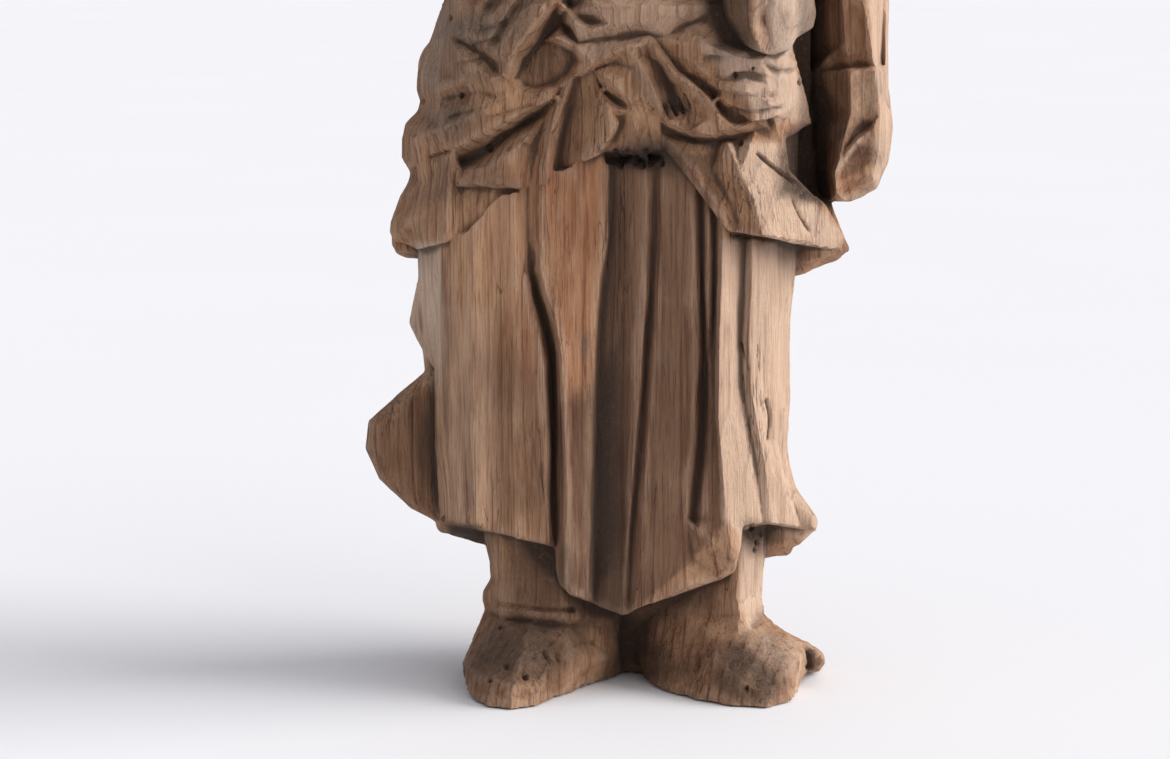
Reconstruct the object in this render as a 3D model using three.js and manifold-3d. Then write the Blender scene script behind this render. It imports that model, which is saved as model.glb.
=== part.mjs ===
import * as THREE from "three";
import Module from "manifold-3d";

// A standing figure in a folded robe, carved from one upright piece of wood.
// Z is up, the front faces -Y and the viewer's right is +X.
const HEIGHT = 300; // mm, from the soles to the crown

// Every other size is counted in parts of the height.
const PART = HEIGHT / 300;

// The carving is drawn as it is seen from in front: (u, v) are the across and
// upright places on the drawing plane through the middle of the figure, y is
// the depth, and the sight point is where all lines of sight meet.
const SIGHT = { x: -6.75, y: -800, z: 200 };

// The block that the figure is cut from, and the size of one cell of it.
const BLOCK_LOW = [-72, -50, -5];
const BLOCK_HIGH = [82, 40, 305];
const CELL = 1.7;

// The number of flat cuts left on the surface.
const FACES = 9400;

// How deep below the ground the feet are carved before the soles are sawn flat.
const SAW = 4;

// A gap that is too wide to matter.
const FAR = 30;

const rad = THREE.MathUtils.degToRad;
const clamp = THREE.MathUtils.clamp;
const ease = THREE.MathUtils.smoothstep;

function sight(y) {
  return SIGHT.y / (SIGHT.y - y);
}

// The place in the block of a point drawn at (u, v) and set at depth y.
function drawn(u, v, y) {
  const k = 1 / sight(y);
  return [SIGHT.x + (u - SIGHT.x) * k, y, SIGHT.z + (v - SIGHT.z) * k];
}

// A smooth line through points, with the given steps between two of them.
function course(points, steps) {
  const nodes = points.map(([u, v]) => new THREE.Vector3(u, v, 0));
  const line = new THREE.CatmullRomCurve3(nodes, false, "centripetal");
  return line.getPoints((points.length - 1) * steps);
}

// The height of a polyline at place t.
function level(line, t) {
  if (t <= line[0][0]) return line[0][1];
  for (let i = 1; i < line.length; i += 1) {
    const [a, b] = [line[i - 1], line[i]];
    if (t <= b[0]) return a[1] + ((b[1] - a[1]) * (t - a[0])) / (b[0] - a[0]);
  }
  return line[line.length - 1][1];
}

// The signed gap between two fields, eased over a soft width where they meet.
function join(a, b, soft) {
  if (soft <= 0) return Math.min(a, b);
  const h = Math.max(soft - Math.abs(a - b), 0) / soft;
  return Math.min(a, b) - h * h * soft * 0.25;
}

function meet(a, b, soft) {
  return -join(-a, -b, soft);
}

// An upright form through levels of [height, left, right, front, back].
function trunk(levels, round) {
  const rows = new Map();
  const bounds = (k, pick) => pick(...levels.map((row) => row[k]));
  const [z0, z1] = [levels[0][0], levels[levels.length - 1][0]];
  const row = (z) => {
    if (!rows.has(z)) rows.set(z, blend(levels, clamp(z, z0, z1)));
    return rows.get(z);
  };
  return {
    low: [bounds(1, Math.min), bounds(3, Math.min), z0],
    high: [bounds(2, Math.max), bounds(4, Math.max), z1],
    gap: (x, y, z) => {
      const [left, right, front, back] = row(z);
      const a = (right - left) / 2;
      const b = (back - front) / 2;
      const p = Math.abs((x - (left + right) / 2) / a) ** round;
      const q = Math.abs((y - (front + back) / 2) / b) ** round;
      const side = ((p + q) ** (1 / round) - 1) * Math.min(a, b);
      return Math.max(side, z0 - z, z - z1);
    },
  };
}

// The values of the levels at height z, along a smooth line through them.
function blend(levels, z) {
  let i = 0;
  while (i < levels.length - 2 && z > levels[i + 1][0]) i += 1;
  const [p, q] = [levels[i], levels[i + 1]];
  const before = levels[Math.max(i - 1, 0)];
  const after = levels[Math.min(i + 2, levels.length - 1)];
  const h = q[0] - p[0];
  const t = (z - p[0]) / h;
  const t2 = t * t;
  const t3 = t2 * t;
  return [1, 2, 3, 4].map((k) => {
    const mp = ((q[k] - before[k]) / (q[0] - before[0])) * h;
    const mq = ((after[k] - p[k]) / (after[0] - p[0])) * h;
    const straight = (2 * t3 - 3 * t2 + 1) * p[k] + (3 * t2 - 2 * t3) * q[k];
    return straight + (t3 - 2 * t2 + t) * mp + (t3 - t2) * mq;
  });
}

// An egg form about a centre, turned by angles about Z, X and Y.
function egg(centre, radii, turn = [0, 0, 0]) {
  const angles = new THREE.Euler(rad(turn[1]), rad(turn[2]), rad(turn[0]), "ZXY");
  const m = new THREE.Matrix4().makeRotationFromEuler(angles).elements;
  const reach = [0, 1, 2].map((i) =>
    Math.hypot(m[i] * radii[0], m[4 + i] * radii[1], m[8 + i] * radii[2]));
  const small = Math.min(...radii);
  return {
    low: centre.map((c, i) => c - reach[i]),
    high: centre.map((c, i) => c + reach[i]),
    gap: (x, y, z) => {
      const [dx, dy, dz] = [x - centre[0], y - centre[1], z - centre[2]];
      const a = (dx * m[0] + dy * m[1] + dz * m[2]) / radii[0];
      const b = (dx * m[4] + dy * m[5] + dz * m[6]) / radii[1];
      const c = (dx * m[8] + dy * m[9] + dz * m[10]) / radii[2];
      return (Math.hypot(a, b, c) - 1) * small;
    },
  };
}

// A round limb through [point, radius] pairs, squeezed from front to back.
function limb(nodes, flat = 1) {
  const gapTo = (x, y, z, [a, ra], [b, rb]) => {
    const d = b.map((value, i) => value - a[i]);
    const length = d[0] * d[0] + d[1] * d[1] + d[2] * d[2];
    const dot = (x - a[0]) * d[0] + (y - a[1]) * d[1] + (z - a[2]) * d[2];
    const t = clamp(dot / length, 0, 1);
    const ey = (y - a[1] - t * d[1]) / flat;
    const away = Math.hypot(x - a[0] - t * d[0], ey, z - a[2] - t * d[2]);
    return away - ra - (rb - ra) * t;
  };
  return {
    low: [0, 1, 2].map((i) => Math.min(...nodes.map(([p, r]) => p[i] - r))),
    high: [0, 1, 2].map((i) => Math.max(...nodes.map(([p, r]) => p[i] + r))),
    gap: (x, y, z) => {
      let best = Infinity;
      for (let i = 1; i < nodes.length; i += 1) {
        best = Math.min(best, gapTo(x, y, z, nodes[i - 1], nodes[i]));
      }
      return best;
    },
  };
}

// A form held between flat cuts of [point, outward direction].
function hewn(low, high, cuts, soft = 0.8) {
  const planes = cuts.map(([p, d]) => {
    const n = new THREE.Vector3(...d).normalize();
    return [n.x, n.y, n.z, n.dot(new THREE.Vector3(...p))];
  });
  return {
    low,
    high,
    gap: (x, y, z) => {
      let out = -Infinity;
      for (const [a, b, c, d] of planes) {
        const g = a * x + b * y + c * z - d;
        out = out === -Infinity ? g : meet(out, g, soft);
      }
      return out;
    },
  };
}

// A board with an outline drawn on the front, between two depths; it can lean
// back by a slope to the left of a place across.
function board(outline, front, back, bevel = 1.5, [slope, from] = [0, 0]) {
  const us = outline.map((p) => p[0]);
  const vs = outline.map((p) => p[1]);
  const corners = [front, back].flatMap((y) => [
    drawn(Math.min(...us), Math.min(...vs), y),
    drawn(Math.max(...us), Math.max(...vs), y),
  ]);
  const edge = (u, v) => {
    let best = Infinity;
    let inside = false;
    outline.forEach(([au, av], i) => {
      const [bu, bv] = outline[(i + 1) % outline.length];
      const [du, dv] = [bu - au, bv - av];
      const t = clamp(((u - au) * du + (v - av) * dv) / (du * du + dv * dv), 0, 1);
      best = Math.min(best, Math.hypot(u - au - t * du, v - av - t * dv));
      if (av > v !== bv > v && u < (du * (v - av)) / dv + au) inside = !inside;
    });
    return inside ? -best : best;
  };
  return {
    low: [0, 1, 2].map((i) => Math.min(...corners.map((c) => c[i]))),
    high: [0, 1, 2].map((i) => Math.max(...corners.map((c) => c[i]))),
    gap: (x, y, z) => {
      const k = sight(y);
      const u = SIGHT.x + (x - SIGHT.x) * k;
      const v = SIGHT.z + (z - SIGHT.z) * k;
      const lean = Math.max(from - u, 0) * slope;
      return meet(edge(u, v), Math.max(front + lean - y, y - back), bevel);
    },
  };
}

// A form that ends at a hem: the front edge is drawn, the back edge is level.
function hemmed(form, frontHem, backHem, turn = 6) {
  return {
    low: form.low,
    high: form.high,
    gap: (x, y, z) => {
      const k = sight(y);
      const u = SIGHT.x + (x - SIGHT.x) * k;
      const v = SIGHT.z + (z - SIGHT.z) * k;
      const share = ease(y, -turn, turn);
      const hem = level(frontHem, u) * (1 - share) + level(backHem, u) * share;
      return meet(form.gap(x, y, z), (hem - v) * 0.9, 1.4);
    },
  };
}

// The block of wood as a grid of gaps to the surface, less than 0 inside.
class Wood {
  constructor(cell) {
    this.cell = cell;
    this.n = BLOCK_LOW.map((low, i) => Math.ceil((BLOCK_HIGH[i] - low) / cell) + 1);
    const count = this.n[0] * this.n[1] * this.n[2];
    this.field = new Float32Array(count).fill(FAR);
    this.facing = new Float32Array(count);
  }

  at(i, j, k) {
    return (k * this.n[1] + j) * this.n[0] + i;
  }

  place(i, axis) {
    return BLOCK_LOW[axis] + i * this.cell;
  }

  // Runs a rule on each cell of a window.
  each(low, high, rule) {
    const span = [0, 1, 2].map((a) => [
      Math.max(0, Math.floor((low[a] - BLOCK_LOW[a]) / this.cell)),
      Math.min(this.n[a] - 1, Math.ceil((high[a] - BLOCK_LOW[a]) / this.cell)),
    ]);
    for (let k = span[2][0]; k <= span[2][1]; k += 1) {
      const z = this.place(k, 2);
      for (let j = span[1][0]; j <= span[1][1]; j += 1) {
        const y = this.place(j, 1);
        for (let i = span[0][0]; i <= span[0][1]; i += 1) {
          const at = this.at(i, j, k);
          this.field[at] = rule(this.field[at], this.place(i, 0), y, z, this.facing[at]);
        }
      }
    }
  }

  // Runs a rule on the cells of a form and around it.
  around(form, reach, rule) {
    const low = form.low.map((value) => value - reach);
    const high = form.high.map((value) => value + reach);
    this.each(low, high, (f, x, y, z) => rule(f, form.gap(x, y, z)));
  }

  add(form, soft = 0) {
    this.around(form, 5, (f, gap) => join(f, gap, soft));
  }

  cut(form, soft = 0) {
    this.around(form, 3, (f, gap) => meet(f, -gap, soft));
  }

  // Makes the gaps true distances close to the surface, and notes how far each
  // cell faces the front (less than 0) or the back.
  even() {
    const [nx, ny] = this.n;
    const steps = [1, nx, nx * ny];
    const source = this.field.slice();
    for (let k = 1; k < this.n[2] - 1; k += 1) {
      for (let j = 1; j < ny - 1; j += 1) {
        for (let i = 1; i < nx - 1; i += 1) {
          const at = this.at(i, j, k);
          const slope = steps.map((s) => (source[at + s] - source[at - s]) / 2 / this.cell);
          const steep = Math.hypot(...slope);
          this.field[at] = source[at] / clamp(steep, 0.4, 1.6);
          this.facing[at] = slope[1] / (steep + 0.01);
        }
      }
    }
  }
}

// The relief of one side: how far the surface is raised, over the drawing plane.
class Relief {
  constructor(low, high, step = 0.5) {
    this.low = low;
    this.step = step;
    this.n = [0, 1].map((i) => Math.ceil((high[i] - low[i]) / step) + 1);
    this.map = new Float32Array(this.n[0] * this.n[1]);
  }

  each(low, high, rule) {
    const span = [0, 1].map((a) => [
      Math.max(0, Math.floor((low[a] - this.low[a]) / this.step)),
      Math.min(this.n[a] - 1, Math.ceil((high[a] - this.low[a]) / this.step)),
    ]);
    for (let j = span[1][0]; j <= span[1][1]; j += 1) {
      for (let i = span[0][0]; i <= span[0][1]; i += 1) {
        const u = this.low[0] + i * this.step;
        const v = this.low[1] + j * this.step;
        this.map[j * this.n[0] + i] += rule(u, v);
      }
    }
  }

  // A fold along a course: raised by `rise` on it, falling away over `left` and
  // `right` of it (seen by someone walking along it), and fading at its ends.
  fold(points, rise, left, right, fade = [0.15, 0.15]) {
    const line = course(points, 6);
    const reach = Math.max(left, right);
    const us = line.map((p) => p.x);
    const vs = line.map((p) => p.y);
    const lengths = [0];
    for (let i = 1; i < line.length; i += 1) {
      lengths.push(lengths[i - 1] + line[i].distanceTo(line[i - 1]));
    }
    const total = lengths[lengths.length - 1];
    const low = [Math.min(...us) - reach, Math.min(...vs) - reach];
    const high = [Math.max(...us) + reach, Math.max(...vs) + reach];
    this.each(low, high, (u, v) => {
      let [best, turn, along] = [Infinity, 0, 0];
      for (let i = 1; i < line.length; i += 1) {
        const [a, b] = [line[i - 1], line[i]];
        const length = lengths[i] - lengths[i - 1];
        const [du, dv] = [(b.x - a.x) / length, (b.y - a.y) / length];
        const t = clamp((u - a.x) * du + (v - a.y) * dv, 0, length);
        const away = Math.hypot(u - a.x - t * du, v - a.y - t * dv);
        if (away < best) {
          best = away;
          turn = du * (v - a.y) - dv * (u - a.x);
          along = (lengths[i - 1] + t) / total;
        }
      }
      const width = turn > 0 ? left : right;
      if (width <= 0 || best >= width) return 0;
      const start = fade[0] > 0 ? ease(along, 0, fade[0]) : 1;
      const end = fade[1] > 0 ? ease(1 - along, 0, fade[1]) : 1;
      return rise * start * end * (1 - best / width);
    });
  }

  // A round boss, or a hollow where the rise is less than 0.
  boss(centre, radii, rise, turn = 0) {
    const [c, s] = [Math.cos(rad(turn)), Math.sin(rad(turn))];
    const reach = Math.max(...radii);
    const low = centre.map((value) => value - reach);
    const high = centre.map((value) => value + reach);
    this.each(low, high, (u, v) => {
      const [du, dv] = [u - centre[0], v - centre[1]];
      const a = (du * c + dv * s) / radii[0];
      const b = (dv * c - du * s) / radii[1];
      return rise * ease(1 - Math.hypot(a, b), 0, 1);
    });
  }

  // The rise at a place, between the four nearest cells.
  rise(u, v) {
    const i = clamp((u - this.low[0]) / this.step, 0, this.n[0] - 1.001);
    const j = clamp((v - this.low[1]) / this.step, 0, this.n[1] - 1.001);
    const [i0, j0] = [Math.floor(i), Math.floor(j)];
    const [fi, fj] = [i - i0, j - j0];
    const at = j0 * this.n[0] + i0;
    const near = this.map[at] * (1 - fi) + this.map[at + 1] * fi;
    const next = this.map[at + this.n[0]] * (1 - fi) + this.map[at + this.n[0] + 1] * fi;
    return near * (1 - fj) + next * fj;
  }
}

// For each pattern of the 8 corners of a cell: whether the corners inside hang
// together along the cell's edges.
const JOINED = Array.from({ length: 256 }, (_, pattern) => {
  const corners = [0, 1, 2, 3, 4, 5, 6, 7].filter((c) => pattern & (1 << c));
  const seen = new Set(corners.slice(0, 1));
  for (const c of seen) {
    for (const next of [c ^ 1, c ^ 2, c ^ 4]) if (corners.includes(next)) seen.add(next);
  }
  return seen.size === corners.length;
});

// Fills the cells where two parts of the surface would touch at an edge or a point.
function settle(wood) {
  const [nx, ny, nz] = wood.n;
  const { field } = wood;
  const order = [0, 1, 2, 3, 4, 5, 6, 7].map((c) => (c & 1) + ((c >> 1) & 1) * nx + (c >> 2) * nx * ny);
  const faces = [0, 1, 2].flatMap((a) => [0, 1].map((side) => {
    const [b, c] = [(a + 1) % 3, (a + 2) % 3];
    const base = side << a;
    return [base, base | (1 << b), base | (1 << b) | (1 << c), base | (1 << c)];
  }));
  let found = -1;
  while (found !== 0) {
    found = 0;
    for (let at = 0; at < nx * ny * (nz - 1) - nx - 1; at += 1) {
      let pattern = 0;
      for (let c = 0; c < 8; c += 1) if (field[at + order[c]] < 0) pattern |= 1 << c;
      if (pattern === 0 || pattern === 255) continue;
      const crossed = faces.some(([p, q, r, s]) => {
        const [i, j, k, l] = [p, q, r, s].map((c) => (pattern >> c) & 1);
        return i === k && j === l && i !== j;
      });
      if (!crossed && JOINED[pattern] && JOINED[255 - pattern]) continue;
      const outside = order.filter((s) => field[at + s] >= 0);
      outside.sort((a, b) => field[at + a] - field[at + b]);
      field[at + outside[0]] = -0.05 * wood.cell;
      found += 1;
    }
  }
}

// Keeps the largest of the closed surfaces.
function largest({ points, triangles }) {
  const root = points.map((_, i) => i);
  const find = (i) => {
    let at = i;
    while (root[at] !== at) {
      root[at] = root[root[at]];
      at = root[at];
    }
    return at;
  };
  for (const [a, b, c] of triangles) {
    root[find(a)] = find(b);
    root[find(b)] = find(c);
  }
  const sizes = new Map();
  for (const [a] of triangles) sizes.set(find(a), (sizes.get(find(a)) ?? 0) + 1);
  const [keep] = [...sizes].sort((a, b) => b[1] - a[1])[0];
  return { points, triangles: triangles.filter(([a]) => find(a) === keep) };
}

// The surface of the wood as points and triangles.
function skin(wood) {
  const [nx, ny, nz] = wood.n;
  const { field, cell } = wood;
  const steps = [1, nx, nx * ny];
  const ids = new Int32Array(nx * ny * nz).fill(-1);
  const points = [];
  const edges = [];
  for (let c = 0; c < 8; c += 1) {
    for (let a = 0; a < 3; a += 1) {
      if (!(c & (1 << a))) edges.push([c, c | (1 << a), a]);
    }
  }
  const offset = (c) => [c & 1, (c >> 1) & 1, (c >> 2) & 1];
  for (let k = 0; k < nz - 1; k += 1) {
    for (let j = 0; j < ny - 1; j += 1) {
      for (let i = 0; i < nx - 1; i += 1) {
        const at = wood.at(i, j, k);
        const corner = (c) => field[at + (c & 1) + ((c >> 1) & 1) * nx + ((c >> 2) & 1) * nx * ny];
        let inside = 0;
        for (let c = 0; c < 8; c += 1) if (corner(c) < 0) inside += 1;
        if (inside === 0 || inside === 8) continue;
        const sum = [0, 0, 0];
        let count = 0;
        for (const [c, d, a] of edges) {
          const [p, q] = [corner(c), corner(d)];
          if (p < 0 === q < 0) continue;
          const from = offset(c);
          from[a] += p / (p - q);
          from.forEach((value, axis) => { sum[axis] += value; });
          count += 1;
        }
        ids[at] = points.length;
        points.push([i, j, k].map((n, axis) => BLOCK_LOW[axis] + (n + sum[axis] / count) * cell));
      }
    }
  }
  const triangles = [];
  for (let k = 1; k < nz - 1; k += 1) {
    for (let j = 1; j < ny - 1; j += 1) {
      for (let i = 1; i < nx - 1; i += 1) {
        const at = wood.at(i, j, k);
        steps.forEach((step, a) => {
          const here = field[at] < 0;
          if (here === field[at + step] < 0) return;
          const [s, t] = [steps[(a + 1) % 3], steps[(a + 2) % 3]];
          const ring = [ids[at], ids[at - s], ids[at - s - t], ids[at - t]];
          if (!here) ring.reverse();
          triangles.push([ring[0], ring[1], ring[2]], [ring[0], ring[2], ring[3]]);
        });
      }
    }
  }
  return { points, triangles };
}

// A binary heap of [cost, ...] rows, the lowest cost first.
class Heap {
  constructor() {
    this.rows = [];
  }

  push(row) {
    const { rows } = this;
    let i = rows.length;
    rows.push(row);
    while (i > 0) {
      const up = (i - 1) >> 1;
      if (rows[up][0] <= row[0]) break;
      rows[i] = rows[up];
      i = up;
    }
    rows[i] = row;
  }

  pop() {
    const { rows } = this;
    const top = rows[0];
    const last = rows.pop();
    if (rows.length === 0) return top;
    let i = 0;
    for (;;) {
      let down = 2 * i + 1;
      if (down >= rows.length) break;
      if (down + 1 < rows.length && rows[down + 1][0] < rows[down][0]) down += 1;
      if (rows[down][0] >= last[0]) break;
      rows[i] = rows[down];
      i = down;
    }
    rows[i] = last;
    return top;
  }
}

// Joins small triangles into larger flat cuts until the given number is left,
// always where that moves the surface least.
function flatten({ points, triangles }, target) {
  const faces = triangles.map((t) => t.slice());
  const live = new Uint8Array(faces.length).fill(1);
  const around = points.map(() => new Set());
  faces.forEach((t, i) => t.forEach((p) => around[p].add(i)));
  const stamps = new Uint32Array(points.length);
  const errors = points.map(() => new Float64Array(10));
  const cross = (a, b, c) => {
    const [ux, uy, uz] = [b[0] - a[0], b[1] - a[1], b[2] - a[2]];
    const [vx, vy, vz] = [c[0] - a[0], c[1] - a[1], c[2] - a[2]];
    return [uy * vz - uz * vy, uz * vx - ux * vz, ux * vy - uy * vx];
  };
  faces.forEach((t) => {
    const n = cross(points[t[0]], points[t[1]], points[t[2]]);
    const size = Math.hypot(...n) || 1;
    const [a, b, c] = n.map((value) => value / size);
    const p = points[t[0]];
    const d = -(a * p[0] + b * p[1] + c * p[2]);
    const plane = [a * a, a * b, a * c, a * d, b * b, b * c, b * d, c * c, c * d, d * d];
    t.forEach((v) => plane.forEach((value, i) => { errors[v][i] += value * size; }));
  });
  const cost = (q, [x, y, z]) =>
    q[0] * x * x + 2 * q[1] * x * y + 2 * q[2] * x * z + 2 * q[3] * x
    + q[4] * y * y + 2 * q[5] * y * z + 2 * q[6] * y
    + q[7] * z * z + 2 * q[8] * z + q[9];
  const heap = new Heap();
  const offer = (a, b) => {
    const q = errors[a].map((value, i) => value + errors[b][i]);
    const [p, r] = [points[a], points[b]];
    const places = [p, r, p.map((value, i) => (value + r[i]) / 2)];
    const m = new THREE.Matrix3().set(q[0], q[1], q[2], q[1], q[4], q[5], q[2], q[5], q[7]);
    const scale = q[0] + q[4] + q[7];
    if (Math.abs(m.determinant()) > 1e-4 * scale ** 3) {
      const best = new THREE.Vector3(-q[3], -q[6], -q[8]).applyMatrix3(m.invert());
      places.push([best.x, best.y, best.z]);
    }
    const span = Math.hypot(p[0] - r[0], p[1] - r[1], p[2] - r[2]);
    let [low, place] = [Infinity, p];
    for (const x of places) {
      const off = Math.hypot(x[0] - places[2][0], x[1] - places[2][1], x[2] - places[2][2]);
      if (off > 2 * span) continue;
      const value = Math.max(cost(q, x), 0);
      if (value < low) [low, place] = [value, x];
    }
    heap.push([low + 1e-4 * span * span, a, b, stamps[a], stamps[b], place]);
  };
  const neighbours = (v) => {
    const out = new Set();
    for (const f of around[v]) for (const p of faces[f]) if (p !== v) out.add(p);
    return out;
  };
  const turnsOver = (v, other, place) => {
    for (const f of around[v]) {
      const t = faces[f];
      if (t.includes(other)) continue;
      const now = t.map((p) => points[p]);
      const then = t.map((p) => (p === v ? place : points[p]));
      const [n, m] = [cross(...now), cross(...then)];
      const [sn, sm] = [Math.hypot(...n), Math.hypot(...m)];
      if (n[0] * m[0] + n[1] * m[1] + n[2] * m[2] < 0.25 * sn * sm) return true;
      const longest = Math.max(...[0, 1, 2].map((i) => {
        const [a, b] = [then[i], then[(i + 1) % 3]];
        return (a[0] - b[0]) ** 2 + (a[1] - b[1]) ** 2 + (a[2] - b[2]) ** 2;
      }));
      if (sm < 0.05 * longest) return true;
    }
    return false;
  };
  points.forEach((point, v) => {
    for (const w of neighbours(v)) if (w > v) offer(v, w);
  });
  let count = faces.length;
  while (count > target && heap.rows.length > 0) {
    const [, a, b, sa, sb, place] = heap.pop();
    if (stamps[a] !== sa || stamps[b] !== sb) continue;
    const [na, nb] = [neighbours(a), neighbours(b)];
    if (!na.has(b)) continue;
    let shared = 0;
    for (const p of na) if (nb.has(p)) shared += 1;
    if (shared !== 2 || turnsOver(a, b, place) || turnsOver(b, a, place)) continue;
    points[a] = place;
    for (const f of [...around[b]]) {
      const t = faces[f];
      if (t.includes(a)) {
        t.forEach((p) => around[p].delete(f));
        live[f] = 0;
        count -= 1;
      } else {
        t[t.indexOf(b)] = a;
        around[a].add(f);
      }
    }
    around[b].clear();
    errors[b].forEach((value, i) => { errors[a][i] += value; });
    stamps[a] += 1;
    stamps[b] += 1;
    for (const w of neighbours(a)) offer(a, w);
  }
  const used = new Map();
  const index = [];
  faces.forEach((t, f) => {
    if (!live[f]) return;
    t.forEach((p) => {
      if (!used.has(p)) used.set(p, used.size);
      index.push(used.get(p));
    });
  });
  return { points: [...used.keys()].map((p) => points[p]), index };
}

const SKIRT_LEVELS = [
  [8, -47, 49, -34, 30],
  [42, -47, 50, -34.5, 31],
  [60, -47.5, 48, -34, 30.5],
  [90, -50.5, 48, -33, 30],
  [116, -51.5, 49, -32, 30],
  [150, -50, 50, -31, 29],
];

const SKIRT_HEM = [
  [-80, 41], [-46, 41], [-34, 39], [-15, 34.5], [-12, 23], [-3, 18.5], [4, 16], [12, 19],
  [22, 22.5], [30, 25.5], [34, 27.5], [34.5, 38.5], [43, 41], [56, 39], [90, 39],
];

const SKIRT_BACK_HEM = [[-80, 40], [-44, 38], [-30, 34], [30, 29], [45, 32], [90, 33]];

const ROBE_LEVELS = [
  [108, -57, 54, -37, 35],
  [118, -58.5, 56, -37, 35],
  [126, -57, 57, -36.5, 34],
  [135, -53.5, 56, -35.5, 32.5],
  [150, -51, 54, -33.5, 30],
  [165, -48, 52, -32, 29],
  [182, -44, 51, -31, 28],
  [200, -43, 48, -29, 28],
  [218, -46, 47, -28, 27],
  [232, -44, 44, -24, 23],
  [241, -32, 32, -19, 18],
  [249, -14, 14, -13, 13],
];

const ROBE_HEM = [
  [-80, 118], [-58.5, 117.5], [-51.5, 116], [-43.5, 117.5], [-37.5, 122.5], [-29.5, 130],
  [-17.5, 132.5], [-9.5, 137.5], [-5, 139], [14.5, 142.5], [21.5, 134], [28, 125], [31.5, 120.5],
  [42.5, 119], [48, 116.5], [61.5, 116], [90, 116],
];

const ROBE_BACK_HEM = [[-80, 114.5], [-50, 113], [20, 111], [48, 108], [63, 113.5], [90, 114]];

const LEFT_FLARE = [
  [-66, 61.5], [-65, 69], [-56.5, 76.5], [-47, 85], [-34, 86], [-28, 60], [-30, 38],
  [-34, 37], [-42, 38], [-46, 41], [-54, 45], [-62.3, 53.3],
];

const RIGHT_TIP = [
  [42, 74], [47.5, 72], [47.5, 59], [50, 50.5], [55.7, 42.5], [55.7, 39], [43, 41], [36, 40],
];

const RIGHT_BACK_TIP = [
  [40, 64], [47, 62], [50, 50], [55, 42], [55.5, 39], [51.5, 35.3], [43, 32], [34, 31],
];

const SLEEVE = [
  [-27.5, 162], [-22.5, 170], [-17.5, 176], [-12.5, 182], [-6, 192], [-2, 203], [-8, 212],
  [-24, 212], [-44, 200], [-47, 190], [-43.8, 182], [-47.5, 171], [-49, 162], [-45, 156], [-35, 154],
];

const LEFT_FOOT = [
  [[0, 0, -SAW], [0, 0, -1]],
  [[-23.7, -40, 0], [0.78, -0.62, 0.18]],
  [[-29.7, -36.5, 0], [-0.617, -0.787, 0.1]],
  [[-36.5, -30.5, 0], [-0.9, -0.2, -0.25]],
  [[-40.5, -26, 12], [-0.94, 0.25, 0.45]],
  [[-30, -36.5, 9], [-0.25, -0.62, 0.75]],
  [[-24, -22, 19], [-0.18, -0.3, 0.93]],
  [[-15, -20, 17], [0.45, -0.1, 0.9]],
  [[1, 0, 0], [1, 0, 0.05]],
  [[-12, 12, 0], [-0.3, 1, 0.1]],
  [[-28, 6, 0], [-0.8, 0.6, 0]],
];

const RIGHT_FOOT = [
  [[0, 0, -SAW], [0, 0, -1]],
  [[10.5, -11, 0], [-0.96, -0.28, 0.1]],
  [[18, -26.5, 0], [-0.78, -0.62, 0.15]],
  [[32, -37, 0], [-0.3, -0.94, 0.12]],
  [[44, -36, 0], [0.76, -0.64, 0.1]],
  [[48.5, -26, 0], [0.97, -0.1, 0.15]],
  [[36, -37, 10], [0.05, -0.62, 0.78]],
  [[32, -22, 20], [0.12, -0.35, 0.92]],
  [[44, -14, 17], [0.5, -0.2, 0.84]],
  [[18, -20, 17], [-0.4, -0.2, 0.88]],
  [[0, 0, 0], [-1, 0, 0.05]],
  [[12, 12, 0], [0.15, 1, 0.1]],
  [[38, 9, 0], [0.8, 0.6, 0]],
];

const RIGHT_FLAP = [
  [[61.8, -6, 118], [0.88, -0.3, 0.42]],
  [[61.8, 4, 118], [0.9, 0.35, 0.36]],
  [[45, -31, 120], [0.42, -0.86, 0.3]],
  [[40, 22, 120], [0.1, 1, 0.1]],
  [[30, 0, 120], [-1, 0, 0]],
  [[40, 0, 150], [0, 0, 1]],
];

const FIST = [
  [[64, 0, 165.5], [0.1, -0.1, 1]],
  [[72.5, 0, 160], [0.97, -0.1, 0.2]],
  [[75, 0, 146], [1, 0, -0.12]],
  [[71.5, 0, 134], [0.75, 0, -0.66]],
  [[64, 0, 128.3], [0.1, -0.1, -1]],
  [[54, 0, 134], [-0.75, 0, -0.5]],
  [[53.5, 0, 150], [-1, 0.1, 0]],
  [[63, -16, 140], [-0.35, -0.9, -0.12]],
  [[70, -14, 145], [0.45, -0.9, 0.05]],
  [[64, -15, 158], [0.1, -0.9, 0.5]],
  [[66, 13, 158], [0.3, 0.9, 0.3]],
  [[62, 13, 140], [0, 0.95, -0.25]],
];

const RAISED_HAND = [
  [[-8, -43.5, 215], [0.05, -0.97, 0.2]],
  [[-8, -24, 215], [0, 1, 0]],
  [[-13.5, -42, 216], [-0.96, -0.2, 0.1]],
  [[-3, -42, 216], [0.96, -0.2, 0.14]],
  [[-8, -34, 240], [0, 0.55, 0.8]],
  [[-8, -42, 204], [0, 0, -1]],
];

function addFeet(wood) {
  for (const x of [-21.5, 33]) {
    wood.add(limb([[[x, -9, 16], 11.5], [[x, -7, 62], 12.5]]));
  }
  wood.add(hewn([-42, -42, -SAW], [2, 14, 26], LEFT_FOOT, 2.5), 2);
  wood.add(hewn([2, -44, -SAW], [58, 14, 26], RIGHT_FOOT, 2.5), 2);
  wood.add(limb([[[44, -19, 5], 7], [[53.5, -22, 4.5], 4.8]]), 3);
  wood.add(egg([2, 5, 12], [16, 9, 22]), 3);
}

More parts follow.
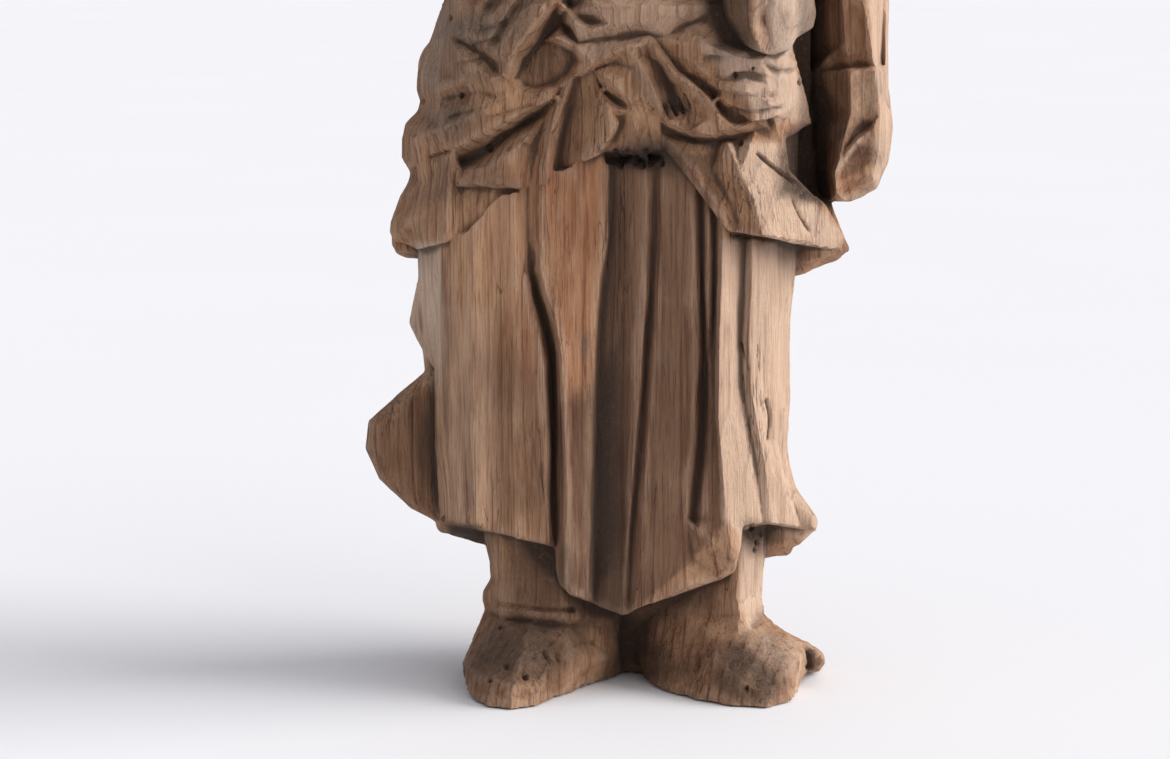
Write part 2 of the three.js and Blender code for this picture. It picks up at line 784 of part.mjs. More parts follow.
function addSkirt(wood) {
  wood.add(hemmed(trunk(SKIRT_LEVELS, 3.4), SKIRT_HEM, SKIRT_BACK_HEM));
  wood.add(board(LEFT_FLARE, -3, 17, 5), 0.5);
  wood.add(board(RIGHT_TIP, -25, 3, 3), 2);
  wood.add(board(RIGHT_BACK_TIP, -5, 14, 3), 1);
}

function addRobe(wood) {
  wood.add(hemmed(trunk(ROBE_LEVELS, 2.6), ROBE_HEM, ROBE_BACK_HEM, 10));
  const flap = hewn([28, -40, 100], [70, 26, 150], RIGHT_FLAP, 1.5);
  wood.add(hemmed(flap, ROBE_HEM, ROBE_BACK_HEM, 10), 2);
  // Two rolls of cloth on the left hip, and the sleeve that hangs over them.
  wood.add(limb([
    [drawn(-44.5, 143, 6), 10.5], [drawn(-43, 143.5, -14), 11],
    [drawn(-30, 147.5, -27), 8], [drawn(-14, 155, -31), 5],
  ]), 1.5);
  wood.add(limb([
    [drawn(-41, 163.5, 4), 10], [drawn(-38, 163.5, -14), 10.5], [drawn(-29, 163, -25), 7],
  ]), 1.5);
  wood.add(board(SLEEVE, -39, -4, 3, [0.42, -16]), 2);
}

function addSash(wood) {
  // The cloth gathered on the right hip, and the belly over it.
  wood.add(egg(drawn(37, 160, -27), [16.5, 11, 9], [10, 0, -12]), 1);
  wood.add(limb([
    [drawn(33, 147, -33), 4], [drawn(44, 150, -30), 7], [drawn(49, 156, -20), 7],
  ]), 1.5);
  wood.add(egg([7, -17, 187], [31, 18, 21]), 3);
  // The bunched end of the sash, pulled up and hanging over to a point.
  wood.add(egg(drawn(42.5, 178, -33), [12.5, 11, 11.5]), 1);
  wood.add(limb([[drawn(42.5, 176, -36), 8], [drawn(42, 168, -40), 2.5]]), 1);
  wood.add(limb([[drawn(40, 184, -30), 8.5], [drawn(31, 197, -25), 4]]), 3);
  // The knot, and the folds that fall from it.
  wood.add(egg(drawn(2, 162, -34), [10, 6, 7], [0, 0, -20]), 1.5);
  wood.add(limb([
    [drawn(-4, 162, -35), 3.5], [drawn(-9, 150, -34), 6], [drawn(-15, 140, -31), 4],
  ]), 1);
  wood.add(limb([
    [drawn(7, 166, -36), 3.5], [drawn(16, 159, -36), 4.5], [drawn(27, 148, -33), 3.5],
  ]), 1);
  wood.add(limb([
    [drawn(4, 163, -35), 4], [drawn(9, 152, -34), 5.5], [drawn(18, 148, -31), 4],
  ]), 1.5);
}

function addArms(wood) {
  // The left arm hangs down to a fist, joined to the body behind it.
  wood.add(limb([
    [[39, 2, 228], 14], [[56, 4, 206], 13], [[62, 2, 186], 11.5], [[64, -1, 161], 9.5],
  ]), 5);
  wood.add(limb([[[50, 4, 200], 9], [[50, 5, 135], 8]]), 3);
  wood.add(hewn([50, -20, 125], [80, 18, 168], FIST, 2), 1.5);
  // The right arm is bent, with the open hand before the chest.
  wood.add(limb([
    [[-38, 2, 227], 14], [[-41, 0, 205], 13], [[-38, -10, 196], 12],
    [[-20, -29, 204], 10], [[-9, -33, 211], 7],
  ]), 5);
  wood.add(hewn([-22, -52, 203], [8, -20, 245], RAISED_HAND, 3), 2);
}

function addCollar(wood) {
  const band = 0.55;
  wood.add(limb([
    [[-13, -8, 247], 5], [[-11, -21, 238], 5], [[-4, -27, 226], 5],
    [[8, -30, 212], 5], [[21, -30, 199], 4.5],
  ], band), 1.5);
  wood.add(limb([[[13, -8, 247], 5], [[11, -21, 238], 5], [[3, -27, 225], 5]], band), 1.5);
  wood.add(limb([[[-14, 4, 247], 4.5], [[0, 12, 248], 4.5], [[14, 4, 247], 4.5]]), 2);
}

function addHead(wood) {
  wood.add(limb([[[0, 1, 238], 11.5], [[0, 0, 262], 10.5]]), 4);
  wood.add(egg([0, -0.5, 277], [17.2, 19, 18]), 3);
  wood.add(egg([0, -6, 268], [13.5, 14, 15.5]), 5);
  wood.add(egg([0, 4, 292.5], [8.5, 8.5, 7.5]), 2);
  // Nose, lips and chin.
  wood.add(limb([[[0, -18.5, 276.5], 1.6], [[0, -21.5, 267.5], 2.5]]), 2);
  wood.add(egg([0, -20.2, 267.2], [4, 2.4, 2]), 1.5);
  wood.add(egg([0, -18.6, 261.6], [4.6, 2.4, 1.2]), 0.8);
  wood.add(egg([0, -18.2, 259.4], [3.6, 2.2, 1.2]), 0.8);
  wood.add(egg([0, -15.5, 255], [5, 4, 3.4]), 3);
  for (const side of [-1, 1]) {
    // Ear, eye hollow, closed lid and brow.
    wood.add(egg([side * 16, 1, 271.5], [2.6, 4.8, 9.5], [side * 12, 8, side * 5]), 1);
    wood.cut(egg([side * 7, -21.5, 272.3], [5.6, 4.2, 3.4]), 2.5);
    wood.add(egg([side * 7, -16.4, 271.6], [4.4, 2.6, 2.6]), 1);
    wood.add(limb([
      [[side * 2.5, -18.6, 276], 1],
      [[side * 8, -17.6, 277.6], 1.1],
      [[side * 13, -13, 275.4], 0.8],
    ]), 2);
  }
}

// The carving of the front, drawn as it is seen; a rise less than 0 is cut in.
function carveFront(relief) {
  // skirt
  relief.fold([[-1, 138], [-1, 102], [-1.5, 75], [-2, 48], [-2.5, 14]], -5.5, 28, 8.5, [0.1, 0]);
  relief.fold([[-1, 136], [-1, 102], [-1.5, 75], [-2, 48], [-2.5, 14]], -2.6, 2.4, 2.4, [0.1, 0]);
  relief.fold([[28.5, 126], [28.5, 94], [28.5, 64], [28.5, 30]], 2.2, 4, 2.4, [0.05, 0.05]);
  relief.fold([[49, 124], [49, 94], [48, 64], [50, 44]], -4, 2, 18, [0.05, 0.1]);
  relief.fold([[38, 120], [37, 94], [36.5, 75], [38.5, 53], [40.5, 42]], -2, 3, 2.2, [0.05, 0.2]);
  relief.fold([[24, 129], [24, 102], [23.5, 69], [22, 31]], -2.2, 1.8, 1.8);
  relief.fold([[21.5, 126], [21, 102], [20, 69], [17, 28]], -1.6, 1.6, 1.6);
  relief.fold([[12, 122], [10.5, 94], [8, 61], [4, 18]], -1.8, 2.6, 2);
  relief.fold([[2.2, 129], [1.8, 97], [1.4, 67], [1, 42]], -1.2, 1.6, 1.6);
  relief.fold([
    [-22, 119], [-17.5, 106.5], [-15.5, 94], [-14, 80.5],
    [-13.5, 69.5], [-12.5, 48], [-11.5, 24],
  ], -3, 4, 5, [0.15, 0]);
  relief.fold([[-53, 116], [-53, 90], [-50, 60], [-48, 42]], -4, 7, 4, [0, 0]);
  relief.fold([[-45.6, 116], [-46, 80], [-46, 42]], 1.3, 3, 2, [0.05, 0.05]);
  relief.fold([[-35, 122], [-35.5, 89], [-35, 40]], -0.9, 3, 3);
  relief.fold([[-27, 128], [-28, 89], [-26, 37]], -0.7, 2.5, 4);
  // sleeve edge and the hollow beside it
  relief.fold([
    [-6, 192], [-12.5, 182], [-17.5, 175.5],
    [-22.5, 170], [-27, 162.5],
  ], 2, 0.9, 6, [0.1, 0.1]);
  relief.boss([-21, 161], [9, 6], -4.5, 15);
  relief.boss([-16, 171.5], [5.5, 7.5], -4, -30);
  relief.fold([[-19, 169], [-8, 165]], 1.6, 2, 2);
  relief.boss([-12, 174], [3.5, 3], -2.4);
  // belly and the edge below it
  relief.fold([[-13, 179.5], [-5.5, 178.5], [4, 180.5], [10.5, 182.5], [20, 190]], -1.6, 1.6, 2.6);
  relief.fold([
    [35.5, 176.5], [21, 171], [10.5, 169.5], [4, 169],
    [-3, 165], [-10.5, 160], [-17.5, 157.5],
  ], 1.8, 0.8, 5, [0.2, 0.1]);
  relief.fold([
    [35.5, 175.5], [21, 170], [10.5, 168.5], [4, 168],
    [-3, 164], [-10.5, 159], [-17.5, 156.5],
  ], -2.4, 3.5, 0.8, [0.2, 0.1]);
  // folds of the knot
  relief.fold([
    [-5.5, 163], [-12, 159], [-15.5, 153],
    [-17.5, 145.5], [-18.5, 137.5], [-20, 131],
  ], 2.2, 3, 3);
  relief.fold([[5, 153.5], [1, 148], [-3, 142.5], [-5, 139]], 1.8, 2, 2.5);
  relief.boss([-8, 149], [6, 12], -2.6, -22);
  relief.boss([-21.5, 144.5], [4, 9], -2.6, -20);
  relief.fold([[5.5, 169], [9, 166], [10.5, 161], [14, 152.5]], 2, 2.5, 2.5);
  relief.fold([[-3, 161], [1, 157], [5, 154]], 1.6, 1.6, 1.6);
  relief.boss([1, 156.5], [4, 4], -2);
  relief.fold([
    [10.5, 170], [13, 165], [18.5, 160],
    [23, 156.5], [27, 149], [28, 146],
  ], 2.4, 1, 3, [0.1, 0.1]);
  relief.fold([
    [12, 171], [15.5, 166.5], [21, 161],
    [25.5, 157], [28.5, 152], [33.5, 147.5],
  ], -2.4, 3.5, 1, [0.1, 0.1]);
  relief.boss([17.5, 153], [6, 4], -2.2, -20);
  relief.fold([[12, 148.5], [17, 146], [24, 144.5], [33, 144.5]], -2.6, 2.4, 3);
  relief.fold([[13, 150.5], [21, 146.5]], 1.4, 1.6, 1.6);
  // hip folds on the left
  relief.fold([[-18, 152], [-26.5, 147.5], [-33.5, 142.5], [-39.5, 138]], -4, 6, 2.4, [0.2, 0.2]);
  relief.fold([
    [-10, 157], [-16.5, 154], [-24, 151], [-32, 149],
    [-37.5, 145.5], [-42.5, 142], [-48, 137.5], [-52.5, 134.5],
  ], 2, 1.4, 6);
  relief.fold([[-53, 151.5], [-45.5, 154.5], [-36, 156.5], [-28, 157.5]], -3.4, 3.4, 3.4);
  relief.fold([[-42.5, 141.5], [-43, 129], [-44, 117.5]], 1.8, 2.5, 4, [0.2, 0]);
  relief.fold([[-41, 132], [-24, 131.5], [-17, 133.5]], -1.4, 1.2, 3.4);
  // cloth on the right and its crevices
  relief.fold([[34, 145], [40, 148], [44.5, 151]], 1.8, 2, 3);
  relief.fold([[21, 165], [24, 162.5], [30.5, 161], [35.5, 161]], -2, 1.5, 3);
  relief.boss([52.5, 139], [6, 9], -5);
  relief.boss([0.5, 140.5], [5, 3.4], -3.4);
  relief.boss([12, 141.5], [3, 2], -2.4);
  // bunched end
  relief.fold([[43.5, 186], [41, 174.5], [42, 166]], 2, 6, 5);
  // right flap
  relief.fold([[24.5, 142], [28, 133.5], [33.5, 125], [35, 119]], -2, 4, 1.4, [0.15, 0]);
  relief.fold([[32.5, 143], [34.5, 136], [38.5, 128], [42, 119]], 1.8, 4, 1.6, [0.15, 0]);
  relief.fold([[38.5, 141.5], [45.5, 135], [48, 130.5], [54, 120]], -1, 1.2, 1.2);
  // forearm planes, cuff and fist
  relief.fold([[61, 190], [61, 182], [62, 171.5], [63.5, 163]], 1.3, 3.5, 3.5, [0.2, 0]);
  relief.fold([[66, 192], [66.5, 182], [69.5, 171.5], [71.5, 163.5]], 1, 3, 3, [0.2, 0]);
  relief.fold([[54.5, 162.5], [63.5, 164], [71.5, 165], [75, 166]], -1.8, 2.4, 0.8, [0, 0]);
  relief.fold([[70, 152], [67, 146.5], [63.5, 140], [60, 131]], 2, 4, 4);
  relief.fold([[72, 148], [68.5, 144.5], [64, 142]], 1, 2, 3);
  // ankles
  relief.fold([[-33, 19], [-21, 17.5], [-8, 17]], -1.4, 1.4, 1.8, [0.1, 0.1]);
  // collar
  relief.fold([[13, 244], [24, 228], [27, 210], [23, 194], [14, 184]], 1.6, 2, 6);
  relief.fold([[-12, 244], [-20, 228], [-22, 214]], 1.6, 6, 2);
  // sleeve and chest folds
  relief.fold([[-4, 203], [-20, 192], [-36, 176]], -2.2, 3.4, 2);
  relief.fold([[-8, 199], [-22, 184], [-34, 166]], -1.8, 3, 1.6);
  relief.fold([[-20, 210], [-34, 196], [-46, 186]], -2, 3, 2);
  relief.fold([[34, 232], [44, 216], [50, 204]], -1.8, 3, 2);
  relief.fold([[44, 236], [56, 216], [60, 200]], -1.6, 3, 2);
  relief.fold([[56, 196], [62, 190], [70, 188]], -1.6, 3, 1.6);
  relief.fold([[52, 186], [60, 183], [70, 183]], -1, 2.4, 1.4);
}

// The back is plainer: a few long folds in the robe and the skirt.
function carveBack(relief) {
  relief.fold([[-8, 238], [-14, 200], [-10, 150], [-12, 118]], -2, 5, 3);
  relief.fold([[16, 236], [14, 200], [20, 150], [22, 118]], -2, 3, 5);
  relief.fold([[-40, 224], [-20, 200], [10, 190], [40, 196]], -1.6, 5, 3);
  relief.fold([[-40, 180], [-10, 168], [30, 176], [48, 186]], -1.6, 5, 3);
  relief.fold([[-26, 110], [-28, 70], [-25, 32]], -3, 7, 4, [0.1, 0]);
  relief.fold([[2, 110], [1, 70], [4, 28]], -3, 5, 7, [0.1, 0]);
  relief.fold([[27, 110], [26, 70], [30, 28]], -2.6, 4, 7, [0.1, 0]);
}

// Cuts both reliefs into the wood, most where the surface faces them, and closes
// the wood at the sides of its block.
function carve(wood) {
  const low = [BLOCK_LOW[0] - 4, 0];
  const high = [BLOCK_HIGH[0] + 4, BLOCK_HIGH[2]];
  const front = new Relief(low, high);
  const back = new Relief(low, high);
  carveFront(front);
  carveBack(back);
  const deep = 8;
  wood.each(BLOCK_LOW, BLOCK_HIGH, (f, x, y, z, facing) => {
    const edge = Math.min(x - BLOCK_LOW[0], y - BLOCK_LOW[1], z - BLOCK_LOW[2],
      BLOCK_HIGH[0] - x, BLOCK_HIGH[1] - y, BLOCK_HIGH[2] - z);
    if (edge < 1.5 * CELL) return Math.max(f, CELL / 2);
    if (Math.abs(f) > deep) return f;
    if (facing > 0) return f - back.rise(x, z) * ease(facing, 0.2, 0.8);
    const k = sight(y);
    const rise = front.rise(SIGHT.x + (x - SIGHT.x) * k, SIGHT.z + (z - SIGHT.z) * k);
    return f - rise * ease(-facing, 0, 0.6);
  });
}

const { Manifold, Mesh } = await Module().then((wasm) => {
  wasm.setup();
  return wasm;
});

function solid(positions, index) {
  const mesh = new Mesh({
    numProp: 3,
    vertProperties: Float32Array.from(positions),
    triVerts: Uint32Array.from(index),
  });
  mesh.merge();
  return new Manifold(mesh);
}

// Saws off what is below the ground, so that both soles are flat.
function sawn(body) {
  const depth = 10 * SAW;
  const width = 2 * (BLOCK_HIGH[0] - BLOCK_LOW[0]);
  const box = new THREE.BoxGeometry(width, width, depth);
  box.translate(0, 0, -depth / 2);
  return body.subtract(solid(box.attributes.position.array, box.index.array));
}

function build() {
  const wood = new Wood(CELL);
  for (const add of [addFeet, addSkirt, addRobe, addSash, addArms, addCollar, addHead]) add(wood);
  wood.even();
  carve(wood);
  settle(wood);
  const { points, index } = flatten(largest(skin(wood)), FACES);
  const mesh = sawn(solid(points.flat(), index)).getMesh();
  const geometry = new THREE.BufferGeometry();
  geometry.setAttribute("position", new THREE.Float32BufferAttribute(mesh.vertProperties, 3));
  geometry.setIndex([...mesh.triVerts]);
  // The middle of the figure's own box stands over the origin.
  geometry.computeBoundingBox();
  const middle = geometry.boundingBox.getCenter(new THREE.Vector3());
  geometry.translate(-middle.x, -middle.y, -geometry.boundingBox.min.z);
  geometry.scale(PART, PART, PART);
  geometry.computeVertexNormals();
  return geometry;
}

const AGED_WOOD = new THREE.MeshStandardMaterial({ color: 0x8a6a55, roughness: 0.85, metalness: 0 });

const figure = new THREE.Mesh(build(), AGED_WOOD);
figure.name = "figure";

const statue = new THREE.Group();
statue.name = "statue";
statue.add(figure);

export default statue;
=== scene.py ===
import math
from typing import NamedTuple

import bpy
import numpy as np
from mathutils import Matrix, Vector
from mathutils.geometry import delaunay_2d_cdt


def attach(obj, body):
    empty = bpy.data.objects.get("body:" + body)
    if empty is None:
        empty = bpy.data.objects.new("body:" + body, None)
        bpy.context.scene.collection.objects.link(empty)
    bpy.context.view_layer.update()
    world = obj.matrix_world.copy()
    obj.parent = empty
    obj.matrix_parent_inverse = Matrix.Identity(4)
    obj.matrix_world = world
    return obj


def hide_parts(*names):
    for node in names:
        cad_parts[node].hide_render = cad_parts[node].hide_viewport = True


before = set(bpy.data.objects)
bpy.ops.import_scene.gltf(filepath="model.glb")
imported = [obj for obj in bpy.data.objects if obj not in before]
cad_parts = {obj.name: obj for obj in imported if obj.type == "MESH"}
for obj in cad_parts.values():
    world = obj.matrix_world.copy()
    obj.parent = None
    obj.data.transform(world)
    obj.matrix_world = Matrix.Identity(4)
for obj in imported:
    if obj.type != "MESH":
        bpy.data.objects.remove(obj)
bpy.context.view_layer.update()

# The figure is carved in millimetres. z is up, the front faces -y and the viewer's right is +x.
MM = 0.001

# Lines of sight all pass the sight point: (u, v) are the across and upright places on the drawing
# plane through the middle of the figure, as seen from there.
SIGHT = (-6.75, -800.0, 200.0)

# The block of wood, and the size of one cell of it.
BLOCK_LOW = np.array([-72.0, -50.0, -3.0])
BLOCK_HIGH = np.array([82.0, 40.0, 304.0])
CELL = 0.62
FAR = 30.0

# The middle of the carved figure, which stands over the origin.
MIDDLE = np.array([4.1097, -5.2918, 0.0])

# How many triangles the finished figure has, and how readily those of its front are joined.
FACES = 190000
FRONT_SHARE = 0.35

# So far away that no cut reaches there.
CLEAR = 200

# The camera's lens and film, and how many degrees it looks down.
LENS = 92.4
FILM = 36.0
LOOK_DOWN = 8.476


def ease(value, low, high):
    """From 0 at low to 1 at high, with a smooth start and end."""
    t = np.clip((value - low) / (high - low), 0.0, 1.0)
    return t * t * (3.0 - 2.0 * t)


def seen(x, y, z):
    """Where a point in the block is drawn."""
    k = SIGHT[1] / (SIGHT[1] - y)
    return SIGHT[0] + (x - SIGHT[0]) * k, SIGHT[2] + (z - SIGHT[2]) * k


def drawn(u, v, y):
    """The point in the block that is drawn at (u, v) and lies at depth y."""
    k = (SIGHT[1] - y) / SIGHT[1]
    return (SIGHT[0] + (u - SIGHT[0]) * k, y, SIGHT[2] + (v - SIGHT[2]) * k)


def bowed(t, a, slope_a, b, slope_b):
    """A smooth line from a to b with the given slopes at its ends, at shares t of the way."""
    return ((2 * t**3 - 3 * t**2 + 1) * a + (t**3 - 2 * t**2 + t) * slope_a
            + (3 * t**2 - 2 * t**3) * b + (t**3 - t**2) * slope_b)


def course(points, steps=6):
    """A smooth line through the points, with the given steps between two of them."""
    p = np.array(points, float)
    ends = np.vstack([2 * p[0] - p[1], p, 2 * p[-1] - p[-2]])
    t = (np.arange(steps) / steps)[:, None]
    line = []
    for a, b, c, d in zip(ends, ends[1:], ends[2:], ends[3:]):
        before, span, after = (np.linalg.norm(s) ** 0.5 + 1e-9 for s in (b - a, c - b, d - c))
        m0 = ((b - a) / before - (c - a) / (before + span) + (c - b) / span) * span
        m1 = ((c - b) / span - (d - b) / (span + after) + (d - c) / after) * span
        line.append(bowed(t, b, m0, c, m1))
    return np.vstack(line + [p[-1:]])


def join(a, b, soft):
    """Two gaps as one form, eased over a soft width where they meet."""
    if soft <= 0:
        return np.minimum(a, b)
    h = np.maximum(soft - np.abs(a - b), 0) / soft
    return np.minimum(a, b) - h * h * soft * 0.25


def meet(a, b, soft):
    """What two forms share, eased over a soft width."""
    return -join(-a, -b, soft)


def blend(rows, z):
    """The values of the levels at heights z, along a smooth line through them."""
    z = np.clip(z, rows[0, 0], rows[-1, 0])
    i = np.clip(np.searchsorted(rows[:, 0], z, side="right") - 1, 0, len(rows) - 2)
    p, q = rows[i], rows[i + 1]
    before, after = rows[np.maximum(i - 1, 0)], rows[np.minimum(i + 2, len(rows) - 1)]
    h = (q[:, :1] - p[:, :1])
    t = ((z[:, None] - p[:, :1]) / h)
    slope_p = (q - before) / (q[:, :1] - before[:, :1]) * h
    slope_q = (after - p) / (after[:, :1] - p[:, :1]) * h
    return bowed(t, p, slope_p, q, slope_q)[:, 1:].T


def trunk(levels, power):
    """An upright form through levels of (height, left, right, front, back)."""
    rows = np.array(levels, float)
    low = [rows[:, 1].min(), rows[:, 3].min(), rows[0, 0]]
    high = [rows[:, 2].max(), rows[:, 4].max(), rows[-1, 0]]

    def gap(x, y, z):
        left, right, front, back = (v.reshape(1, 1, -1) for v in blend(rows, z.ravel()))
        a, b = (right - left) / 2, (back - front) / 2
        p = np.abs((x - (left + right) / 2) / a) ** power
        q = np.abs((y - (front + back) / 2) / b) ** power
        side = ((p + q) ** (1 / power) - 1) * np.minimum(a, b)
        return np.maximum(side, np.maximum(rows[0, 0] - z, z - rows[-1, 0]))

    return low, high, gap


def turned(turn, tilt, roll):
    """A turn about z, x and y, by angles in degrees."""
    a, b, c = (math.radians(v) for v in (turn, tilt, roll))
    about_z = np.array([[math.cos(a), -math.sin(a), 0], [math.sin(a), math.cos(a), 0], [0, 0, 1]])
    about_x = np.array([[1, 0, 0], [0, math.cos(b), -math.sin(b)], [0, math.sin(b), math.cos(b)]])
    about_y = np.array([[math.cos(c), 0, math.sin(c)], [0, 1, 0], [-math.sin(c), 0, math.cos(c)]])
    return about_z @ about_x @ about_y


def egg(centre, radii, turn=(0, 0, 0)):
    """An egg form about a centre, turned by angles about z, x and y."""
    m = turned(*turn)
    reach = np.sqrt((m**2) @ (np.array(radii, float) ** 2))

    def gap(x, y, z):
        d = (x - centre[0], y - centre[1], z - centre[2])
        parts = [sum(m[k, i] * d[k] for k in range(3)) / radii[i] for i in range(3)]
        return (np.sqrt(parts[0] ** 2 + parts[1] ** 2 + parts[2] ** 2) - 1) * min(radii)

    return np.array(centre) - reach, np.array(centre) + reach, gap


def limb(nodes, flat=1.0):
    """A round limb through (point, radius) pairs, squeezed from front to back."""
    points = np.array([p for p, _ in nodes], float)
    radii = np.array([r for _, r in nodes], float)[:, None]

    def gap(x, y, z):
        best = None
        for (a, ra), (b, rb) in zip(nodes, nodes[1:]):
            d = [q - p for p, q in zip(a, b)]
            length = sum(v * v for v in d)
            t = np.clip(((x - a[0]) * d[0] + (y - a[1]) * d[1] + (z - a[2]) * d[2]) / length, 0, 1)
            away = np.sqrt((x - a[0] - t * d[0]) ** 2 + ((y - a[1] - t * d[1]) / flat) ** 2
                           + (z - a[2] - t * d[2]) ** 2) - ra - (rb - ra) * t
            best = away if best is None else np.minimum(best, away)
        return best

    return (points - radii).min(0), (points + radii).max(0), gap


def hewn(low, high, cuts, soft=0.8):
    """A form held between flat cuts, each a point and the direction outwards."""

    def gap(x, y, z):
        out = None
        for point, direction in cuts:
            n = np.array(direction, float) / np.linalg.norm(direction)
            g = x * n[0] + y * n[1] + z * n[2] - float(n @ point)
            out = g if out is None else meet(out, g, soft)
        return out

    return low, high, gap


def outside_of(corners, u, v, far):
    """How far drawn places are outside an outline, up to a far distance; less than 0 inside."""
    best = np.full(np.broadcast_shapes(u.shape, v.shape), far**2)
    inside = np.zeros(best.shape, bool)
    for (au, av), (bu, bv) in zip(corners, np.roll(corners, -1, axis=0)):
        du, dv = bu - au, bv - av
        t = np.clip(((u - au) * du + (v - av) * dv) / (du * du + dv * dv), 0, 1)
        best = np.minimum(best, (u - au - t * du) ** 2 + (v - av - t * dv) ** 2)
        if av != bv:
            inside ^= ((av > v) != (bv > v)) & (u < du * (v - av) / dv + au)
    return np.where(inside, -1, 1) * np.sqrt(best)


def board(outline, front, back, bevel=1.5, lean=(0, 0)):
    """A board with an outline drawn on the front, between two depths; it can lean back by a slope to
    the left of a place across."""
    us, vs = zip(*outline)
    corners = np.array([drawn(u, v, y) for y in (front, back) for u in (min(us), max(us))
                        for v in (min(vs), max(vs))])

    def gap(x, y, z):
        u, v = seen(x, y, z)
        edge = outside_of(np.array(outline, float), u, v, np.inf)
        slant = np.maximum(lean[1] - u, 0) * lean[0]
        return meet(edge, np.maximum(front + slant - y, y - back), bevel)

    return corners.min(0), corners.max(0), gap


def hemmed(form, front_hem, back_hem, turn=6):
    """A form that ends at a hem: the front edge is drawn, the back edge is level."""
    low, high, inner = form
    front_u, front_v = zip(*front_hem)
    back_u, back_v = zip(*back_hem)

    def gap(x, y, z):
        u, v = seen(x, y, z)
        share = ease(y, -turn, turn)
        hem = np.interp(u, front_u, front_v) * (1 - share) + np.interp(u, back_u, back_v) * share
        return meet(inner(x, y, z), (hem - v) * 0.9, 1.4)

    return low, high, gap


class Wood:
    """The block of wood as a grid of gaps to the surface, less than 0 inside."""

    def __init__(self):
        self.n = np.ceil((BLOCK_HIGH - BLOCK_LOW) / CELL).astype(int) + 1
        self.axes = [BLOCK_LOW[a] + CELL * np.arange(self.n[a]) for a in range(3)]
        self.field = np.full(self.n, FAR, np.float32)

    def window(self, low, high, reach):
        """The cells of a box and a reach around it, and their places."""
        spans = []
        for a in range(3):
            start = max(0, int((low[a] - reach - BLOCK_LOW[a]) / CELL))
            end = min(self.n[a], int((high[a] + reach - BLOCK_LOW[a]) / CELL) + 2)
            spans.append(slice(start, max(start, end)))
        x, y, z = (self.axes[a][spans[a]] for a in range(3))
        return tuple(spans), x[:, None, None], y[None, :, None], z[None, None, :]

    def add(self, form, soft=0.0):
        """Adds a form, eased over a soft width where it meets the wood."""
        low, high, gap = form
        part, x, y, z = self.window(low, high, 5)
        self.field[part] = join(self.field[part], gap(x, y, z).astype(np.float32), soft)

    def cut(self, form, soft=0.0):
        """Cuts a form away, with edges eased over a soft width."""
        low, high, gap = form
        part, x, y, z = self.window(low, high, 3)
        self.field[part] = meet(self.field[part], -gap(x, y, z).astype(np.float32), soft)

    def shave(self, front):
        """Cuts the wood down to a faceted front, up to its top, and lays the front's wood on."""
        part, x, y, z = self.window(front.low, front.high, 5)
        u, v = seen(x, y, z)
        surface = front.depth.at(u, v) - y
        outside = front.edge.at(u, v)
        release = CLEAR * ease(v, front.top, front.top + 8) + CLEAR * ease(outside, 0, 0.5)
        field = np.maximum(self.field[part], surface - release)
        buried = 25 * ease(v, front.top - 5, front.top + 8)
        # Wood that hangs free before the body is rounded behind.
        rounded = 6 * ease(outside, -6, 0) ** 2 if front.back < 0 else 0
        own = meet(outside, np.maximum(surface + buried, y - front.back + rounded), 0.3)
        self.field[part] = np.minimum(field, own).astype(np.float32)

    def trim(self, fronts, sides, heights, back):
        """Cuts off the wood drawn outside all of the fronts, left and right of a span across, between
        two heights and before a depth."""
        _, x, y, z = self.window(BLOCK_LOW, BLOCK_HIGH, 0)
        u, v = seen(x, y, z)
        off = ((u < sides[0]) | (u > sides[1])) & (v > heights[0]) & (v < heights[1])
        for front in fronts:
            off &= front.edge.at(u, v) > 0
        self.field = np.where(off, np.maximum(self.field, back - y), self.field)

    def near(self, values, places):
        """The values of a grid at places in the block, between its cells."""
        at = np.clip((places - BLOCK_LOW) / CELL, 0, self.n - 1.001)
        i = at.astype(int)
        f = (at - i).astype(np.float32)
        out = 0
        for a in (0, 1):
            for b in (0, 1):
                for c in (0, 1):
                    share = (np.abs(1 - a - f[:, 0]) * np.abs(1 - b - f[:, 1])
                             * np.abs(1 - c - f[:, 2]))
                    out = out + share * values[i[:, 0] + a, i[:, 1] + b, i[:, 2] + c]
        return out


